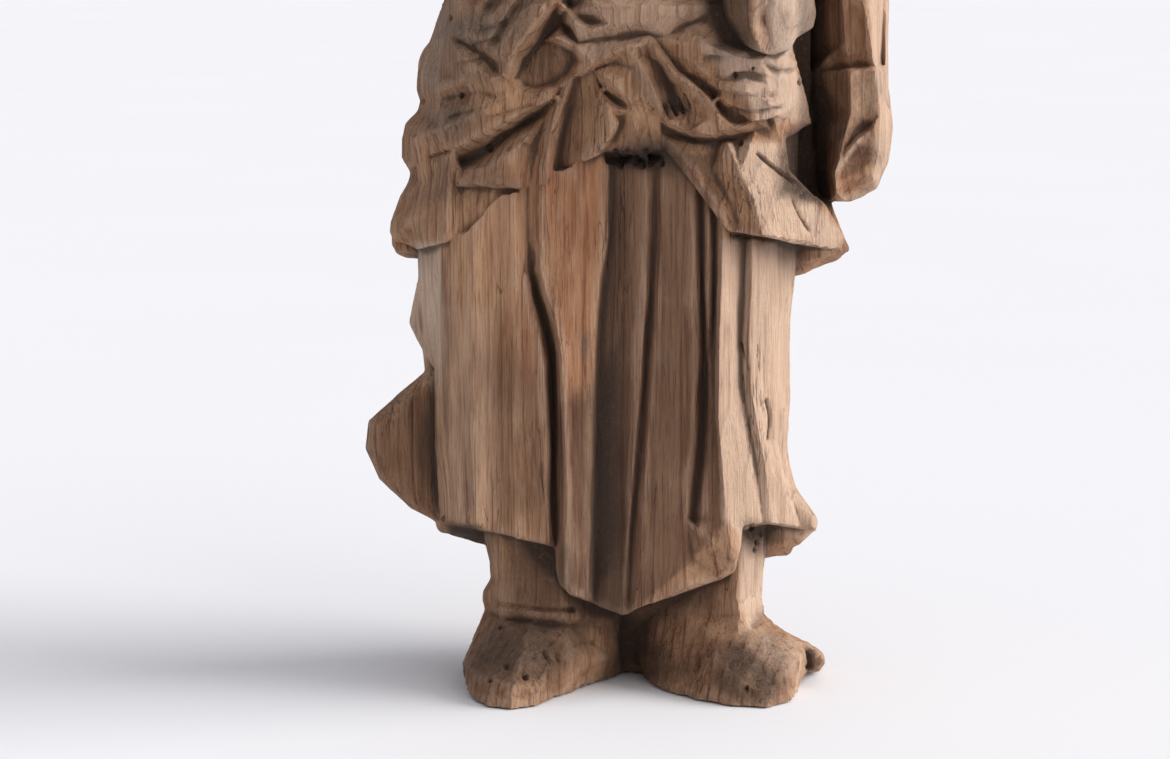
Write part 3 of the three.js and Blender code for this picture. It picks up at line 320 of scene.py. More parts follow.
class Drawing:
    """A map over the drawing plane: how far the surface is raised, or how strong a tint is."""

    STEP = 0.25

    def __init__(self):
        self.low = np.array([BLOCK_LOW[0] - 4, -12.0])
        high = np.array([BLOCK_HIGH[0] + 4, BLOCK_HIGH[2]])
        self.axes = [np.arange(self.low[a], high[a], self.STEP) for a in range(2)]
        self.map = np.zeros((len(self.axes[0]), len(self.axes[1])), np.float32)

    def window(self, low, high):
        """The part of the map between two corners, and its places."""
        spans = []
        for a in range(2):
            start = max(0, int((low[a] - self.low[a]) / self.STEP))
            end = min(len(self.axes[a]), int((high[a] - self.low[a]) / self.STEP) + 2)
            spans.append(slice(start, max(start, end)))
        return tuple(spans), self.axes[0][spans[0]][:, None], self.axes[1][spans[1]][None, :]

    def fold(self, points, rise, left, right, fade=(0.15, 0.15)):
        """Raised along a course, falling away over `left` and `right` of it (for someone walking
        along it), and fading at its ends."""
        line = course(points)
        reach = max(left, right)
        part, u, v = self.window(line.min(0) - reach, line.max(0) + reach)
        best = np.full(np.broadcast_shapes(u.shape, v.shape), np.inf)
        side, along = np.zeros(best.shape), np.zeros(best.shape)
        lengths = np.linalg.norm(np.diff(line, axis=0), axis=1)
        walked = np.concatenate([[0], np.cumsum(lengths)])
        for a, b, length, start in zip(line, line[1:], lengths, walked):
            du, dv = (b - a) / length
            t = np.clip((u - a[0]) * du + (v - a[1]) * dv, 0, length)
            away = (u - a[0] - t * du) ** 2 + (v - a[1] - t * dv) ** 2
            closer = away < best
            best = np.where(closer, away, best)
            side = np.where(closer, du * (v - a[1]) - dv * (u - a[0]), side)
            along = np.where(closer, (start + t) / walked[-1], along)
        width = np.where(side > 0, left, right)
        shape = np.clip(1 - np.sqrt(best) / np.maximum(width, 1e-6), 0, 1)
        if fade[0] > 0:
            shape = shape * ease(along, 0, fade[0])
        if fade[1] > 0:
            shape = shape * ease(1 - along, 0, fade[1])
        self.map[part] += rise * shape

    def boss(self, centre, radii, rise, turn=0):
        """A round boss, or a hollow where the rise is less than 0."""
        c, s = math.cos(math.radians(turn)), math.sin(math.radians(turn))
        reach = max(radii)
        part, u, v = self.window(np.array(centre) - reach, np.array(centre) + reach)
        a = ((u - centre[0]) * c + (v - centre[1]) * s) / radii[0]
        b = ((v - centre[1]) * c - (u - centre[0]) * s) / radii[1]
        self.map[part] += rise * ease(1 - np.hypot(a, b), 0, 1)

    def at(self, u, v):
        """The map's values at drawn places, between its steps."""
        i = np.clip((u - self.low[0]) / self.STEP, 0, len(self.axes[0]) - 1.001)
        j = np.clip((v - self.low[1]) / self.STEP, 0, len(self.axes[1]) - 1.001)
        i0, j0 = i.astype(int), j.astype(int)
        fi, fj = (i - i0).astype(np.float32), (j - j0).astype(np.float32)
        m = self.map
        return (m[i0, j0] * (1 - fi) * (1 - fj) + m[i0 + 1, j0] * fi * (1 - fj)
                + m[i0, j0 + 1] * (1 - fi) * fj + m[i0 + 1, j0 + 1] * fi * fj)

    def facets(self, edges, deeper):
        """The depth of the flat facets that are held between the given edges."""
        spots, lines, depths = [], [], []
        for edge in edges:
            for k, (u, v, y) in enumerate(edge):
                spots.append(Vector((u, v)))
                depths.append(y)
                if k:
                    lines.append((len(spots) - 2, len(spots) - 1))
        corners, _, triangles, origins, _, _ = delaunay_2d_cdt(spots, lines, [], 0, 1e-4)
        heights = []
        for corner, origin in zip(corners, origins):
            if origin:
                heights.append(depths[origin[0]])
                continue
            # Where two edges cross, the facets meet between both of their depths.
            crossing = []
            for a, b in lines:
                span = spots[b] - spots[a]
                t = (corner - spots[a]).dot(span) / span.length_squared
                if 0 <= t <= 1 and (spots[a] + t * span - corner).length < 0.01:
                    crossing.append(depths[a] * (1 - t) + depths[b] * t)
            heights.append(sum(crossing) / len(crossing))
        for a, b, c in triangles:
            three = np.array([corners[a], corners[b], corners[c]])
            part, u, v = self.window(three.min(0), three.max(0))
            (au, av), (bu, bv), (cu, cv) = three
            area = (bu - au) * (cv - av) - (cu - au) * (bv - av)
            if abs(area) < 1e-9:
                continue
            q = ((u - au) * (cv - av) - (cu - au) * (v - av)) / area
            r = ((bu - au) * (v - av) - (u - au) * (bv - av)) / area
            inside = (q >= -1e-6) & (r >= -1e-6) & (q + r <= 1 + 1e-6)
            height = heights[a] + q * (heights[b] - heights[a]) + r * (heights[c] - heights[a])
            self.map[part] = np.where(inside, height, self.map[part])
        self.deepen(deeper)

    def deepen(self, share, reach=5.0):
        """Carves the facets deeper: each place moves away from the mean depth around it."""
        held = (self.map != 0).astype(float)
        total, count = self.map.astype(float), held.copy()
        n = int(reach / self.STEP)
        for axis in (0, 1):
            size = total.shape[axis]
            ahead = np.minimum(np.arange(size) + n, size - 1)
            behind = np.maximum(np.arange(size) - n, 0)
            total, count = (np.take(s, ahead, axis) - np.take(s, behind, axis)
                            for s in (np.cumsum(total, axis), np.cumsum(count, axis)))
        self.map += (held * share * (self.map - total / np.maximum(count, 1))).astype(np.float32)

    def outline(self, points):
        """How far each place is outside an outline; less than 0 inside."""
        corners = np.array(points, float)
        margin = 8.0
        self.map[:] = margin
        part, u, v = self.window(corners.min(0) - margin, corners.max(0) + margin)
        self.map[part] = outside_of(corners, u, v, margin)


class Front(NamedTuple):
    """A front cut in facets: its box, the depth of its facets, how far places are outside it, how
    far back its wood reaches, and up to which height it is cut."""

    low: np.ndarray
    high: np.ndarray
    depth: Drawing
    edge: Drawing
    back: float
    top: float


def faceted(outline, edges, back, deeper, top):
    """A front cut in facets between edges, inside an outline."""
    depth, edge = Drawing(), Drawing()
    depth.facets(edges, deeper)
    edge.outline(outline)
    us, vs = zip(*outline)
    nearest = min(y for row in edges for _, _, y in row)
    corners = np.array([drawn(u, v, y) for y in (nearest, back) for u in (min(us), max(us))
                        for v in (min(vs), max(vs))])
    return Front(corners.min(0), corners.max(0), depth, edge, back, top)


SKIRT_LEVELS = [
    [8, -47, 49, -34, 30],
    [42, -47, 50, -34.5, 31],
    [60, -47.5, 48, -34, 30.5],
    [90, -50.5, 48, -33, 30],
    [116, -51.5, 49, -32, 30],
    [150, -50, 50, -31, 29],
]
SKIRT_HEM = [
    [-80, 41], [-46, 41], [-34, 39], [-15, 34.5], [-12, 23], [-3, 18.5], [4, 16], [12, 19], [22, 22.5],
    [30, 25.5], [34, 27.5], [34.5, 38.5], [43, 41], [56, 39], [90, 39],
]
SKIRT_BACK_HEM = [[-80, 40], [-44, 38], [-30, 34], [30, 29], [45, 32], [90, 33]]
ROBE_LEVELS = [
    [108, -57, 54, -37, 35],
    [118, -58.5, 56, -37, 35],
    [126, -57, 57, -36.5, 34],
    [135, -53.5, 56, -35.5, 32.5],
    [150, -51, 54, -33.5, 30],
    [165, -48, 52, -32, 29],
    [182, -44, 51, -31, 28],
    [200, -43, 48, -29, 28],
    [218, -46, 47, -28, 27],
    [232, -44, 44, -24, 23],
    [241, -32, 32, -19, 18],
    [249, -14, 14, -13, 13],
]
ROBE_HEM = [
    [-80, 118], [-58.5, 117.5], [-51.5, 116], [-43.5, 117.5], [-37.5, 122.5], [-29.5, 130], [-17.5, 132.5],
    [-9.5, 137.5], [-5, 139], [14.5, 142.5], [21.5, 134], [28, 125], [31.5, 120.5], [42.5, 119], [48, 116.5],
    [61.5, 116], [90, 116],
]
ROBE_BACK_HEM = [[-80, 114.5], [-50, 113], [20, 111], [48, 108], [63, 113.5], [90, 114]]

LEFT_FLARE = [
    [-66, 61.5], [-65, 69], [-56.5, 76.5], [-47, 85], [-34, 86], [-28, 60], [-30, 38],
    [-34, 37], [-42, 38], [-46, 41], [-54, 45], [-62.3, 53.3],
]

RIGHT_TIP = [
    [42, 74], [47.5, 72], [47.5, 59], [50, 50.5], [55.7, 42.5], [55.7, 39], [43, 41], [36, 40],
]

RIGHT_BACK_TIP = [
    [40, 64], [47, 62], [50, 50], [55, 42], [55.5, 39], [51.5, 35.3], [43, 32], [34, 31],
]

SLEEVE = [
    [-27.5, 162], [-22.5, 170], [-17.5, 176], [-12.5, 182], [-6, 192], [-2, 203], [-8, 212],
    [-24, 212], [-44, 200], [-47, 190], [-43.8, 182], [-47.5, 171], [-49, 162], [-45, 156], [-35, 154],
]

LEFT_FOOT = [
    [[0, 0, -4], [0, 0, -1]],
    [[-23.7, -40, 0], [0.78, -0.62, 0.18]],
    [[-29.7, -36.5, 0], [-0.617, -0.787, 0.1]],
    [[-36.5, -30.5, 0], [-0.9, -0.2, -0.25]],
    [[-40.5, -26, 12], [-0.94, 0.25, 0.45]],
    [[-30, -36.5, 9], [-0.25, -0.62, 0.75]],
    [[-24, -22, 19], [-0.18, -0.3, 0.93]],
    [[-15, -20, 17], [0.45, -0.1, 0.9]],
    [[1, 0, 0], [1, 0, 0.05]],
    [[-12, 12, 0], [-0.3, 1, 0.1]],
    [[-28, 6, 0], [-0.8, 0.6, 0]],
]

RIGHT_FOOT = [
    [[0, 0, -4], [0, 0, -1]],
    [[10.5, -11, 0], [-0.96, -0.28, 0.1]],
    [[18, -26.5, 0], [-0.78, -0.62, 0.15]],
    [[32, -37, 0], [-0.3, -0.94, 0.12]],
    [[44, -36, 0], [0.76, -0.64, 0.1]],
    [[48.5, -26, 0], [0.97, -0.1, 0.15]],
    [[36, -37, 10], [0.05, -0.62, 0.78]],
    [[32, -22, 20], [0.12, -0.35, 0.92]],
    [[44, -14, 17], [0.5, -0.2, 0.84]],
    [[18, -20, 17], [-0.4, -0.2, 0.88]],
    [[0, 0, 0], [-1, 0, 0.05]],
    [[12, 12, 0], [0.15, 1, 0.1]],
    [[38, 9, 0], [0.8, 0.6, 0]],
]

RIGHT_FLAP = [
    [[61.8, -6, 118], [0.88, -0.3, 0.42]],
    [[61.8, 4, 118], [0.9, 0.35, 0.36]],
    [[45, -31, 120], [0.42, -0.86, 0.3]],
    [[40, 22, 120], [0.1, 1, 0.1]],
    [[30, 0, 120], [-1, 0, 0]],
    [[40, 0, 150], [0, 0, 1]],
]

RAISED_HAND = [
    [[-8, -43.5, 215], [0.05, -0.97, 0.2]],
    [[-8, -24, 215], [0, 1, 0]],
    [[-13.5, -42, 216], [-0.96, -0.2, 0.1]],
    [[-3, -42, 216], [0.96, -0.2, 0.14]],
    [[-8, -34, 240], [0, 0.55, 0.8]],
    [[-8, -42, 204], [0, 0, -1]],
]


def add_feet(wood):
    """Both ankles and feet, with a gap between the heels."""
    for x in (-21.5, 33):
        wood.add(limb([[[x, -9, 16], 11.5], [[x, -7, 62], 12.5]]))
    wood.add(hewn([-42, -42, -4], [2, 14, 26], LEFT_FOOT, 1.5), 1)
    wood.shave(LEFT_FOOT_FRONT)
    wood.trim([LEFT_FOOT_FRONT], (-12, 99), (-20, 60), -4)
    wood.add(hewn([2, -44, -4], [58, 14, 26], RIGHT_FOOT, 1.5), 1)
    wood.shave(RIGHT_FOOT_FRONT)
    wood.trim([LEFT_FOOT_FRONT, RIGHT_FOOT_FRONT], (-99, 4), (-20, 60), -4)
    wood.trim([RIGHT_FOOT_FRONT], (-99, 40), (10, 60), 40)
    wood.add(egg([2, 5, 12], [16, 9, 22]), 3)
    wood.cut(limb([[[5, 19, -4], 9], [[4, 17, 26], 6]]), 3)
    for x in (-21.5, 33):
        wood.cut(limb([[[x - 20, 20, 17], 8], [[x + 20, 20, 17], 8]]), 4)


def add_skirt(wood):
    """The skirt down to its pointed hem."""
    wood.add(hemmed(trunk(SKIRT_LEVELS, 3.4), SKIRT_HEM, SKIRT_BACK_HEM))


def add_robe(wood):
    """The robe, with its flap on the right, rolls of cloth on the left and hanging sleeve."""
    wood.add(hemmed(trunk(ROBE_LEVELS, 2.6), ROBE_HEM, ROBE_BACK_HEM, 10))
    flap = hewn([28, -40, 100], [70, 26, 150], RIGHT_FLAP, 1.5)
    wood.add(hemmed(flap, ROBE_HEM, ROBE_BACK_HEM, 10), 2)
    # Two rolls of cloth on the left hip, and the sleeve that hangs over them.
    wood.add(limb([
        [drawn(-44.5, 143, 6), 10.5], [drawn(-43, 143.5, -14), 11],
        [drawn(-30, 147.5, -27), 8], [drawn(-14, 155, -31), 5],
    ]), 1.5)
    wood.add(limb([
        [drawn(-41, 163.5, 4), 10], [drawn(-38, 163.5, -14), 10.5], [drawn(-29, 163, -25), 7],
    ]), 1.5)
    wood.add(board(SLEEVE, -39, -4, 3, [0.42, -16]), 2)


def add_sash(wood):
    """The belly under the sash, and the sash's bunched end."""
    wood.add(egg([7, -17, 189], [31, 18, 20]), 3)
    # The bunched end of the sash, pulled up and hanging over to a point.
    wood.add(limb([[drawn(40, 184, -30), 8.5], [drawn(31, 197, -25), 4]]), 3)


def shave_body(wood):
    """Cuts the skirt and the robe to their facets."""
    wood.shave(SKIRT_FRONT)
    wood.shave(BAND_FRONT)
    wood.trim([SKIRT_FRONT, BAND_FRONT], (-40, 44), (42, 184), 0)


def add_skirt_points(wood):
    """The points of the skirt that stand off to the left and the right."""
    wood.add(board(LEFT_FLARE, -3, 17, 5), 0.5)
    wood.add(board(RIGHT_TIP, -22, 3, 3), 1)
    wood.add(board(RIGHT_BACK_TIP, -5, 14, 3), 1)


def shave_arm(wood):
    """Cuts the fist and the sash's end to their facets."""
    wood.shave(FIST_FRONT)
    wood.shave(KNOB_FRONT)


def add_arms(wood):
    """The lowered left arm, and the bent right arm with its open hand."""
    # The left arm hangs down to a fist, joined to the body behind it.
    wood.add(limb([
        [[39, 2, 228], 14], [[56, 4, 206], 13], [[62, 2, 186], 11.5], [[64, -1, 161], 9.5],
    ]), 5)
    wood.add(limb([[[50, 4, 200], 9], [[50, 5, 135], 8]]), 3)
    wood.add(limb([[[64, 2, 165], 9], [[65, 2, 145], 8.5], [[64, 2, 136], 7.5]]), 2)
    # The right arm is bent, with the open hand before the chest.
    wood.add(limb([
        [[-38, 2, 227], 14], [[-41, 0, 205], 13], [[-38, -10, 196], 12],
        [[-20, -29, 204], 10], [[-9, -33, 211], 7],
    ]), 5)
    hand = Wood()
    hand.add(hewn([-22, -52, 203], [8, -20, 245], RAISED_HAND, 2))
    for x, top in ((-12.6, 233.5), (-9.6, 238.5), (-6.5, 240), (-3.6, 237)):
        hand.add(limb([[[x * 0.9 - 0.6, -39.5, 219], 2.3], [[x, -39.5, top], 1.6]]), 0.5)
    for x in (-11.2, -8.2, -5.1):
        for depth in (-42.6, -34):
            hand.cut(limb([[[x * 0.9 - 0.6, depth, 222], 0.5], [[x, depth, 244], 1.1]]), 0.3)
    hand.cut(hewn([-30, -38, 222], [16, -10, 250], [
        [[0, -36, 230], [0, -0.94, -0.34]], [[0, -38, 226], [0, 0, -1]]], 1), 1.5)
    hand.add(limb([[[-2.4, -38, 211], 2.8], [[-0.6, -41, 219], 2.2], [[-1.4, -42.4, 225], 1.5]]), 1)
    wood.field = join(wood.field, hand.field, 2).astype(np.float32)


def add_collar(wood):
    """The crossed bands of the collar."""
    band = 0.55
    wood.add(limb([
        [[-13, -8, 247], 5], [[-11, -21, 238], 5], [[-4, -27, 226], 5],
        [[8, -30, 212], 5], [[21, -30, 199], 4.5],
    ], band), 1.5)
    wood.add(limb([[[13, -8, 247], 5], [[11, -21, 238], 5], [[3, -27, 225], 5]], band), 1.5)
    wood.add(limb([[[-14, 4, 247], 4.5], [[0, 12, 248], 4.5], [[14, 4, 247], 4.5]]), 2)


def add_head(wood):
    """Neck, head and knot of hair, with the face and the ears."""
    wood.add(limb([[[0, 1, 238], 11.5], [[0, 0, 262], 10.5]]), 4)
    wood.add(egg([0, -0.5, 277], [17.2, 19, 18]), 3)
    wood.add(egg([0, -6, 268], [13.5, 14, 15.5]), 5)
    wood.add(egg([0, 4, 292.5], [8.5, 8.5, 7.5]), 1)
    # Nose, lips, chin and cheeks.
    wood.add(limb([[[0, -18.2, 277], 1.3], [[0, -20.6, 270], 1.7], [[0, -21.8, 267], 2.2]]), 1.2)
    wood.add(egg([0, -20.4, 266.8], [3.8, 2.2, 1.7]), 0.8)
    wood.add(egg([0, -18.6, 262.0], [4.8, 2.3, 1.2]), 0.5)
    wood.add(egg([0, -18.2, 259.6], [3.8, 2.3, 1.3]), 0.5)
    wood.add(egg([0, -15.8, 254.6], [5, 4, 3.2]), 2.5)
    for side in (-1, 1):
        wood.add(egg([side * 8, -13.4, 264], [5, 4, 5]), 3)
        # Ear with its long lobe and its hollow.
        wood.add(egg([side * 16, 1, 272.5], [2.6, 4.8, 8.5], [side * 12, 8, side * 5]), 0.6)
        wood.add(egg([side * 15.6, -0.8, 263], [1.9, 2.6, 4.6]), 1)
        wood.cut(egg([side * 18.8, -0.6, 273], [1.4, 2.2, 4.6], [side * 12, 8, side * 5]), 0.6)
        # Eye hollow, closed lid and brow.
        wood.cut(egg([side * 7, -21.5, 272.8], [5.8, 4.6, 3.6]), 1.6)
        wood.add(egg([side * 7, -16.2, 272.2], [4.6, 2.9, 2.7]), 0.5)
        wood.add(limb([
            [[side * 2.5, -18.8, 276.4], 0.9],
            [[side * 7.5, -17.9, 278.2], 1.0],
            [[side * 13, -13, 275.6], 0.7],
        ]), 1.4)


def carve_front(relief):
    """The carving of the upper front, drawn as it is seen: a rise less than 0 is cut in."""
    # ankles
    relief.fold([[-33, 19], [-21, 17.5], [-8, 17]], -1.4, 1.4, 1.8, [0.1, 0.1])
    # collar
    relief.fold([[13, 244], [24, 228], [27, 210], [23, 194], [14, 184]], 1.6, 2, 6)
    relief.fold([[-12, 244], [-20, 228], [-22, 214]], 1.6, 6, 2)
    # chest folds
    for k in range(5):
        relief.fold([[-24 + 3 * k, 236 - 5 * k], [-8 + 4 * k, 214 - 4 * k], [14 + 4 * k, 198 - 3 * k]],
                    -1.3, 3.2, 1.0)
    relief.fold([[14, 236], [22, 224], [22, 206], [14, 190]], -1.4, 1.0, 2.6)
    relief.fold([[-44, 226], [-34, 214], [-14, 208]], -1.8, 3.4, 1.2)
    relief.fold([[-47, 214], [-36, 203], [-18, 200]], -1.8, 3.4, 1.2)
    relief.fold([[40, 226], [50, 212], [54, 196]], -1.6, 1.2, 3)
    relief.fold([[48, 222], [60, 208], [66, 194]], -1.4, 1.2, 3)
    # neck
    relief.fold([[-9, 251], [0, 248], [9, 251]], -0.7, 1, 1)
    relief.fold([[-9, 247], [0, 244], [9, 247]], -0.7, 1, 1)
    # sleeve folds
    relief.fold([[-4, 203], [-20, 192], [-36, 176]], -2.2, 3.4, 2)
    relief.fold([[-8, 199], [-22, 184], [-34, 166]], -1.8, 3, 1.6)
    relief.fold([[-20, 210], [-34, 196], [-46, 186]], -2, 3, 2)
    relief.fold([[34, 232], [44, 216], [50, 204]], -1.8, 3, 2)
    relief.fold([[44, 236], [56, 216], [60, 200]], -1.6, 3, 2)
    relief.fold([[56, 196], [62, 190], [70, 188]], -1.6, 3, 1.6)
    relief.fold([[52, 186], [60, 183], [70, 183]], -1, 2.4, 1.4)


def carve_back(relief):
    """The back is plainer: slanting folds in the robe, upright ones in the skirt."""
    for k in range(5):
        relief.fold([[-40 + 7 * k, 230 - 2 * k], [-26 + 9 * k, 196 - 4 * k], [-2 + 9 * k, 168 - 5 * k],
                     [30 + 5 * k, 150 - 9 * k]], -2.0, 7, 1.8)
    relief.fold([[10, 240], [24, 226], [42, 214]], -1.6, 2, 6)
    relief.fold([[-46, 182], [-36, 164], [-18, 150], [0, 142]], -2, 6, 1.8)
    relief.fold([[-50, 160], [-40, 142], [-22, 130], [-4, 124]], -2, 6, 1.8)
    relief.fold([[-52, 140], [-44, 126], [-30, 117]], -1.6, 5, 1.6)
    for k in range(8):
        x = -40 + 11.5 * k
        relief.fold([[x, 112], [x - 1.5 + k % 3, 74], [1.05 * x + k % 2, 30]],
                    -2.6 + 0.5 * (k % 3), 6.5, 2.2, [0.08, 0])


# The front is cut in flat facets. Each row is an edge between facets, as points (u, v, y): where
# it is drawn, and how deep it lies.
SKIRT_OUTLINE = [
    (-51.6, 147), (-51.5, 115.8), (-51.5, 107.8), (-53.2, 99.6), (-53.8, 95.6), (-50.6, 88.8),
    (-47.1, 83.4), (-47, 60), (-46, 41), (-43, 41.4), (-35, 40), (-28, 38), (-25, 36.6), (-18, 35),
    (-14.8, 34.2), (-14.4, 28), (-13.4, 24), (-10.8, 21), (-5, 19), (-2, 17.4), (3.2, 15.4),
    (4.2, 15.5), (10, 18.6), (17, 21.6), (27.6, 25.6), (30, 26.2), (34, 29), (35.2, 33), (36, 40),
    (43, 41), (55.8, 39), (55.9, 42), (50.1, 50.5), (47.4, 58.8), (48.5, 75.2), (48.2, 86),
    (48.3, 97), (49.5, 108), (50, 147),
]
SKIRT_EDGES = [
    # The narrow facet of the left side.
    [(-52, 147, -6), (-51.6, 116, -6), (-51.4, 108, -6), (-53.7, 97, -5), (-50.6, 88.8, -6),
     (-47.3, 83.4, -9), (-47, 78, -12), (-48, 68, -12), (-47.5, 60, -12), (-46, 50, -13),
     (-45.6, 38, -14)],
    [(-45.5, 147, -24), (-45.3, 116, -24), (-45.2, 80, -24), (-45, 60, -23), (-44, 50, -22),
     (-43.6, 38, -22)],
    [(-42, 147, -28.5), (-42, 100, -28.5), (-42, 60, -28), (-41, 38, -27.5)],
    [(-37, 147, -31.5), (-37, 100, -31.5), (-37, 60, -32), (-36, 36, -32)],
    [(-31, 147, -32), (-30.5, 80, -31.8), (-31, 34, -31.3)],
    [(-26, 147, -33.5), (-25, 90, -34), (-26, 60, -33.5), (-25, 33, -33.5)],
    # The long bent groove.
    [(-23.5, 147, -33), (-23.5, 118, -33), (-23.2, 110, -33.4), (-21.8, 103, -33.8),
     (-19.3, 94, -34.2), (-17.8, 84, -34.6), (-17.2, 72, -34.4), (-16.8, 60, -33.8),
     (-17, 48, -33.2), (-16, 32, -33)],
    [(-22, 147, -32.6), (-22, 118, -32.4), (-21.4, 110, -31.2), (-19.8, 103, -30.2),
     (-17.3, 95, -29.6), (-15.6, 87, -29.2), (-15.4, 74, -29.2), (-15.4, 60, -29.4),
     (-15, 45, -30), (-14.6, 30, -31)],
    [(-17.5, 147, -34.5), (-18.5, 118, -34.5), (-18.6, 110, -34.5), (-17, 103, -35),
     (-14.6, 96, -35.4), (-13.2, 87, -35.6), (-12.6, 74, -35.6), (-12.2, 62, -35.6),
     (-11.8, 45, -36), (-12.4, 20, -36)],
    # The bright strip and the sharp edge of the middle groove.
    [(-9, 147, -33.6), (-9, 118, -33.6), (-9.2, 90, -34), (-9, 60, -34.8), (-9, 40, -35.6),
     (-9.5, 17, -36)],
    [(-0.6, 147, -31), (-0.9, 120, -31), (-2.5, 108, -31), (-3.6, 97, -31.2), (-4.5, 80, -31.8),
     (-5, 60, -32.6), (-5.5, 40, -33.6), (-6, 15, -34.6)],
    [(0.3, 147, -29), (0, 120, -28), (-1.5, 108, -27.6), (-2.6, 97, -27.4), (-3.4, 80, -27.2),
     (-3.8, 60, -27.2), (-4.2, 40, -27.4), (-4.8, 13, -28)],
    [(2.4, 147, -29.5), (2.6, 120, -28.5), (2.8, 97, -28.2), (3, 80, -28), (3.2, 60, -28),
     (3.2, 40, -28.4), (2.6, 13, -29.4)],
    # The dark slope and its grooves.
    [(9.5, 147, -32), (9.6, 120, -32), (9.3, 105, -31.8), (8.4, 90, -31.4), (7.4, 75, -31),
     (6.4, 62, -30.8), (5.6, 50, -30.6), (4.8, 38, -30.2), (3.6, 13, -30)],
    [(12, 147, -31.4), (11.8, 120, -30.6), (11, 105, -30), (10, 90, -29.6), (9, 75, -29.4),
     (8, 62, -29.2), (7, 50, -29), (6, 38, -29), (4.6, 13, -29.5)],
    [(14, 147, -33), (13.8, 120, -32.6), (13, 105, -32.4), (12, 90, -32.2), (11, 75, -32),
     (10.2, 62, -31.8), (9.2, 50, -31.6), (8.4, 38, -31.6), (7, 13, -32)],
    [(19, 147, -34.5), (19, 100, -34.4), (18, 60, -34.2), (15, 16, -34.4)],
    [(22.6, 147, -35.4), (22.6, 120, -35.4), (23, 105, -35.4), (23.6, 85, -35.2),
     (23.4, 75, -35.2), (22.6, 62, -35), (21.4, 50, -35), (20.6, 42, -35), (19, 18, -35.4)],
    [(24.2, 147, -33.6), (24.2, 120, -33.4), (24.6, 105, -33), (25.4, 85, -32.6),
     (25.2, 75, -32.4), (24.4, 62, -32.4), (23, 50, -32.6), (22.4, 42, -33)],
    [(26.2, 147, -36), (26.2, 120, -36), (26.4, 100, -35.8), (26.6, 85, -34.6), (27, 70, -35),
     (26, 55, -35.2), (25, 42, -35.4)],
    [(28, 147, -34.4), (28, 120, -34.2), (27.9, 100, -34), (27.8, 85, -34.4), (28.1, 70, -35.4),
     (28.6, 55, -36), (28.6, 42, -36)],
    # The proud edge, and the bright flank with its groove.
    [(29.8, 147, -38), (29.9, 116, -38), (29.5, 100, -38.2), (29.1, 85, -38.2), (29.1, 70, -38.2),
     (30, 60, -38), (31, 50, -38), (31.6, 41, -37.6)],
    [(34.4, 147, -32.4), (34.6, 118, -32.4), (34.2, 105, -32.4), (33.8, 90, -32.4),
     (34.2, 78, -32.6), (36.6, 65, -32.6), (38.8, 53, -32.6), (41, 36, -32)],
    [(36, 147, -31), (36, 118, -31), (35.6, 105, -31), (35, 90, -31), (35.6, 78, -31.2),
     (38, 65, -31.2), (40, 53, -31), (42, 36, -30.6)],
    [(38, 147, -32), (38, 118, -32), (37.8, 105, -32), (37.4, 90, -32), (38, 78, -32),
     (40.4, 65, -31.6), (42.6, 53, -31), (44.6, 36, -30)],
    [(44, 147, -26), (44, 100, -26), (43.6, 80, -26), (44.6, 65, -26), (47, 53, -25.6),
     (52, 36, -24)],
    [(50, 147, -14), (48.8, 108, -14), (48.3, 96, -14), (47.9, 80, -14), (48.7, 72, -14),
     (47.7, 58, -15), (50.3, 50, -15), (57, 41, -16)],
    # The turned-back corner at the lower right.
    [(24, 39, -36.4), (29, 34.4, -37.2), (34, 30.4, -37)],
    [(22.4, 31, -33.6), (28, 27, -33.6), (33.6, 28.6, -34.6)],
]

BAND_OUTLINE = [
    (-38, 206), (-43.5, 187), (-43.8, 182.2), (-47.5, 172), (-51, 163), (-51.2, 158),
    (-50.3, 155), (-51, 152.5), (-54.5, 149), (-55.5, 145), (-55.5, 140), (-53.3, 136.3),
    (-53, 135), (-56, 129.5), (-58.5, 123), (-59, 120), (-57.5, 117.7), (-54.5, 117),
    (-51.5, 115.5), (-44, 117.3), (-38, 120.3), (-33, 126), (-29.5, 130), (-17.5, 132.3),
    (-14.5, 136.6), (-12, 136.8), (-8, 138.4), (-4, 140.4), (-1.5, 141.5), (2, 141.4),
    (6, 140.9), (10, 141.3), (14.5, 142.3), (21.5, 134), (28.3, 124.6), (31.5, 120.3),
    (42, 118.8), (50, 116.8), (61.5, 115.3), (62.4, 118), (57.5, 127.6), (53, 131),
    (47.5, 136.5), (46.5, 145), (53.4, 149), (52.4, 155), (50.3, 162), (48, 169.3), (50, 187),
    (48, 206),
]
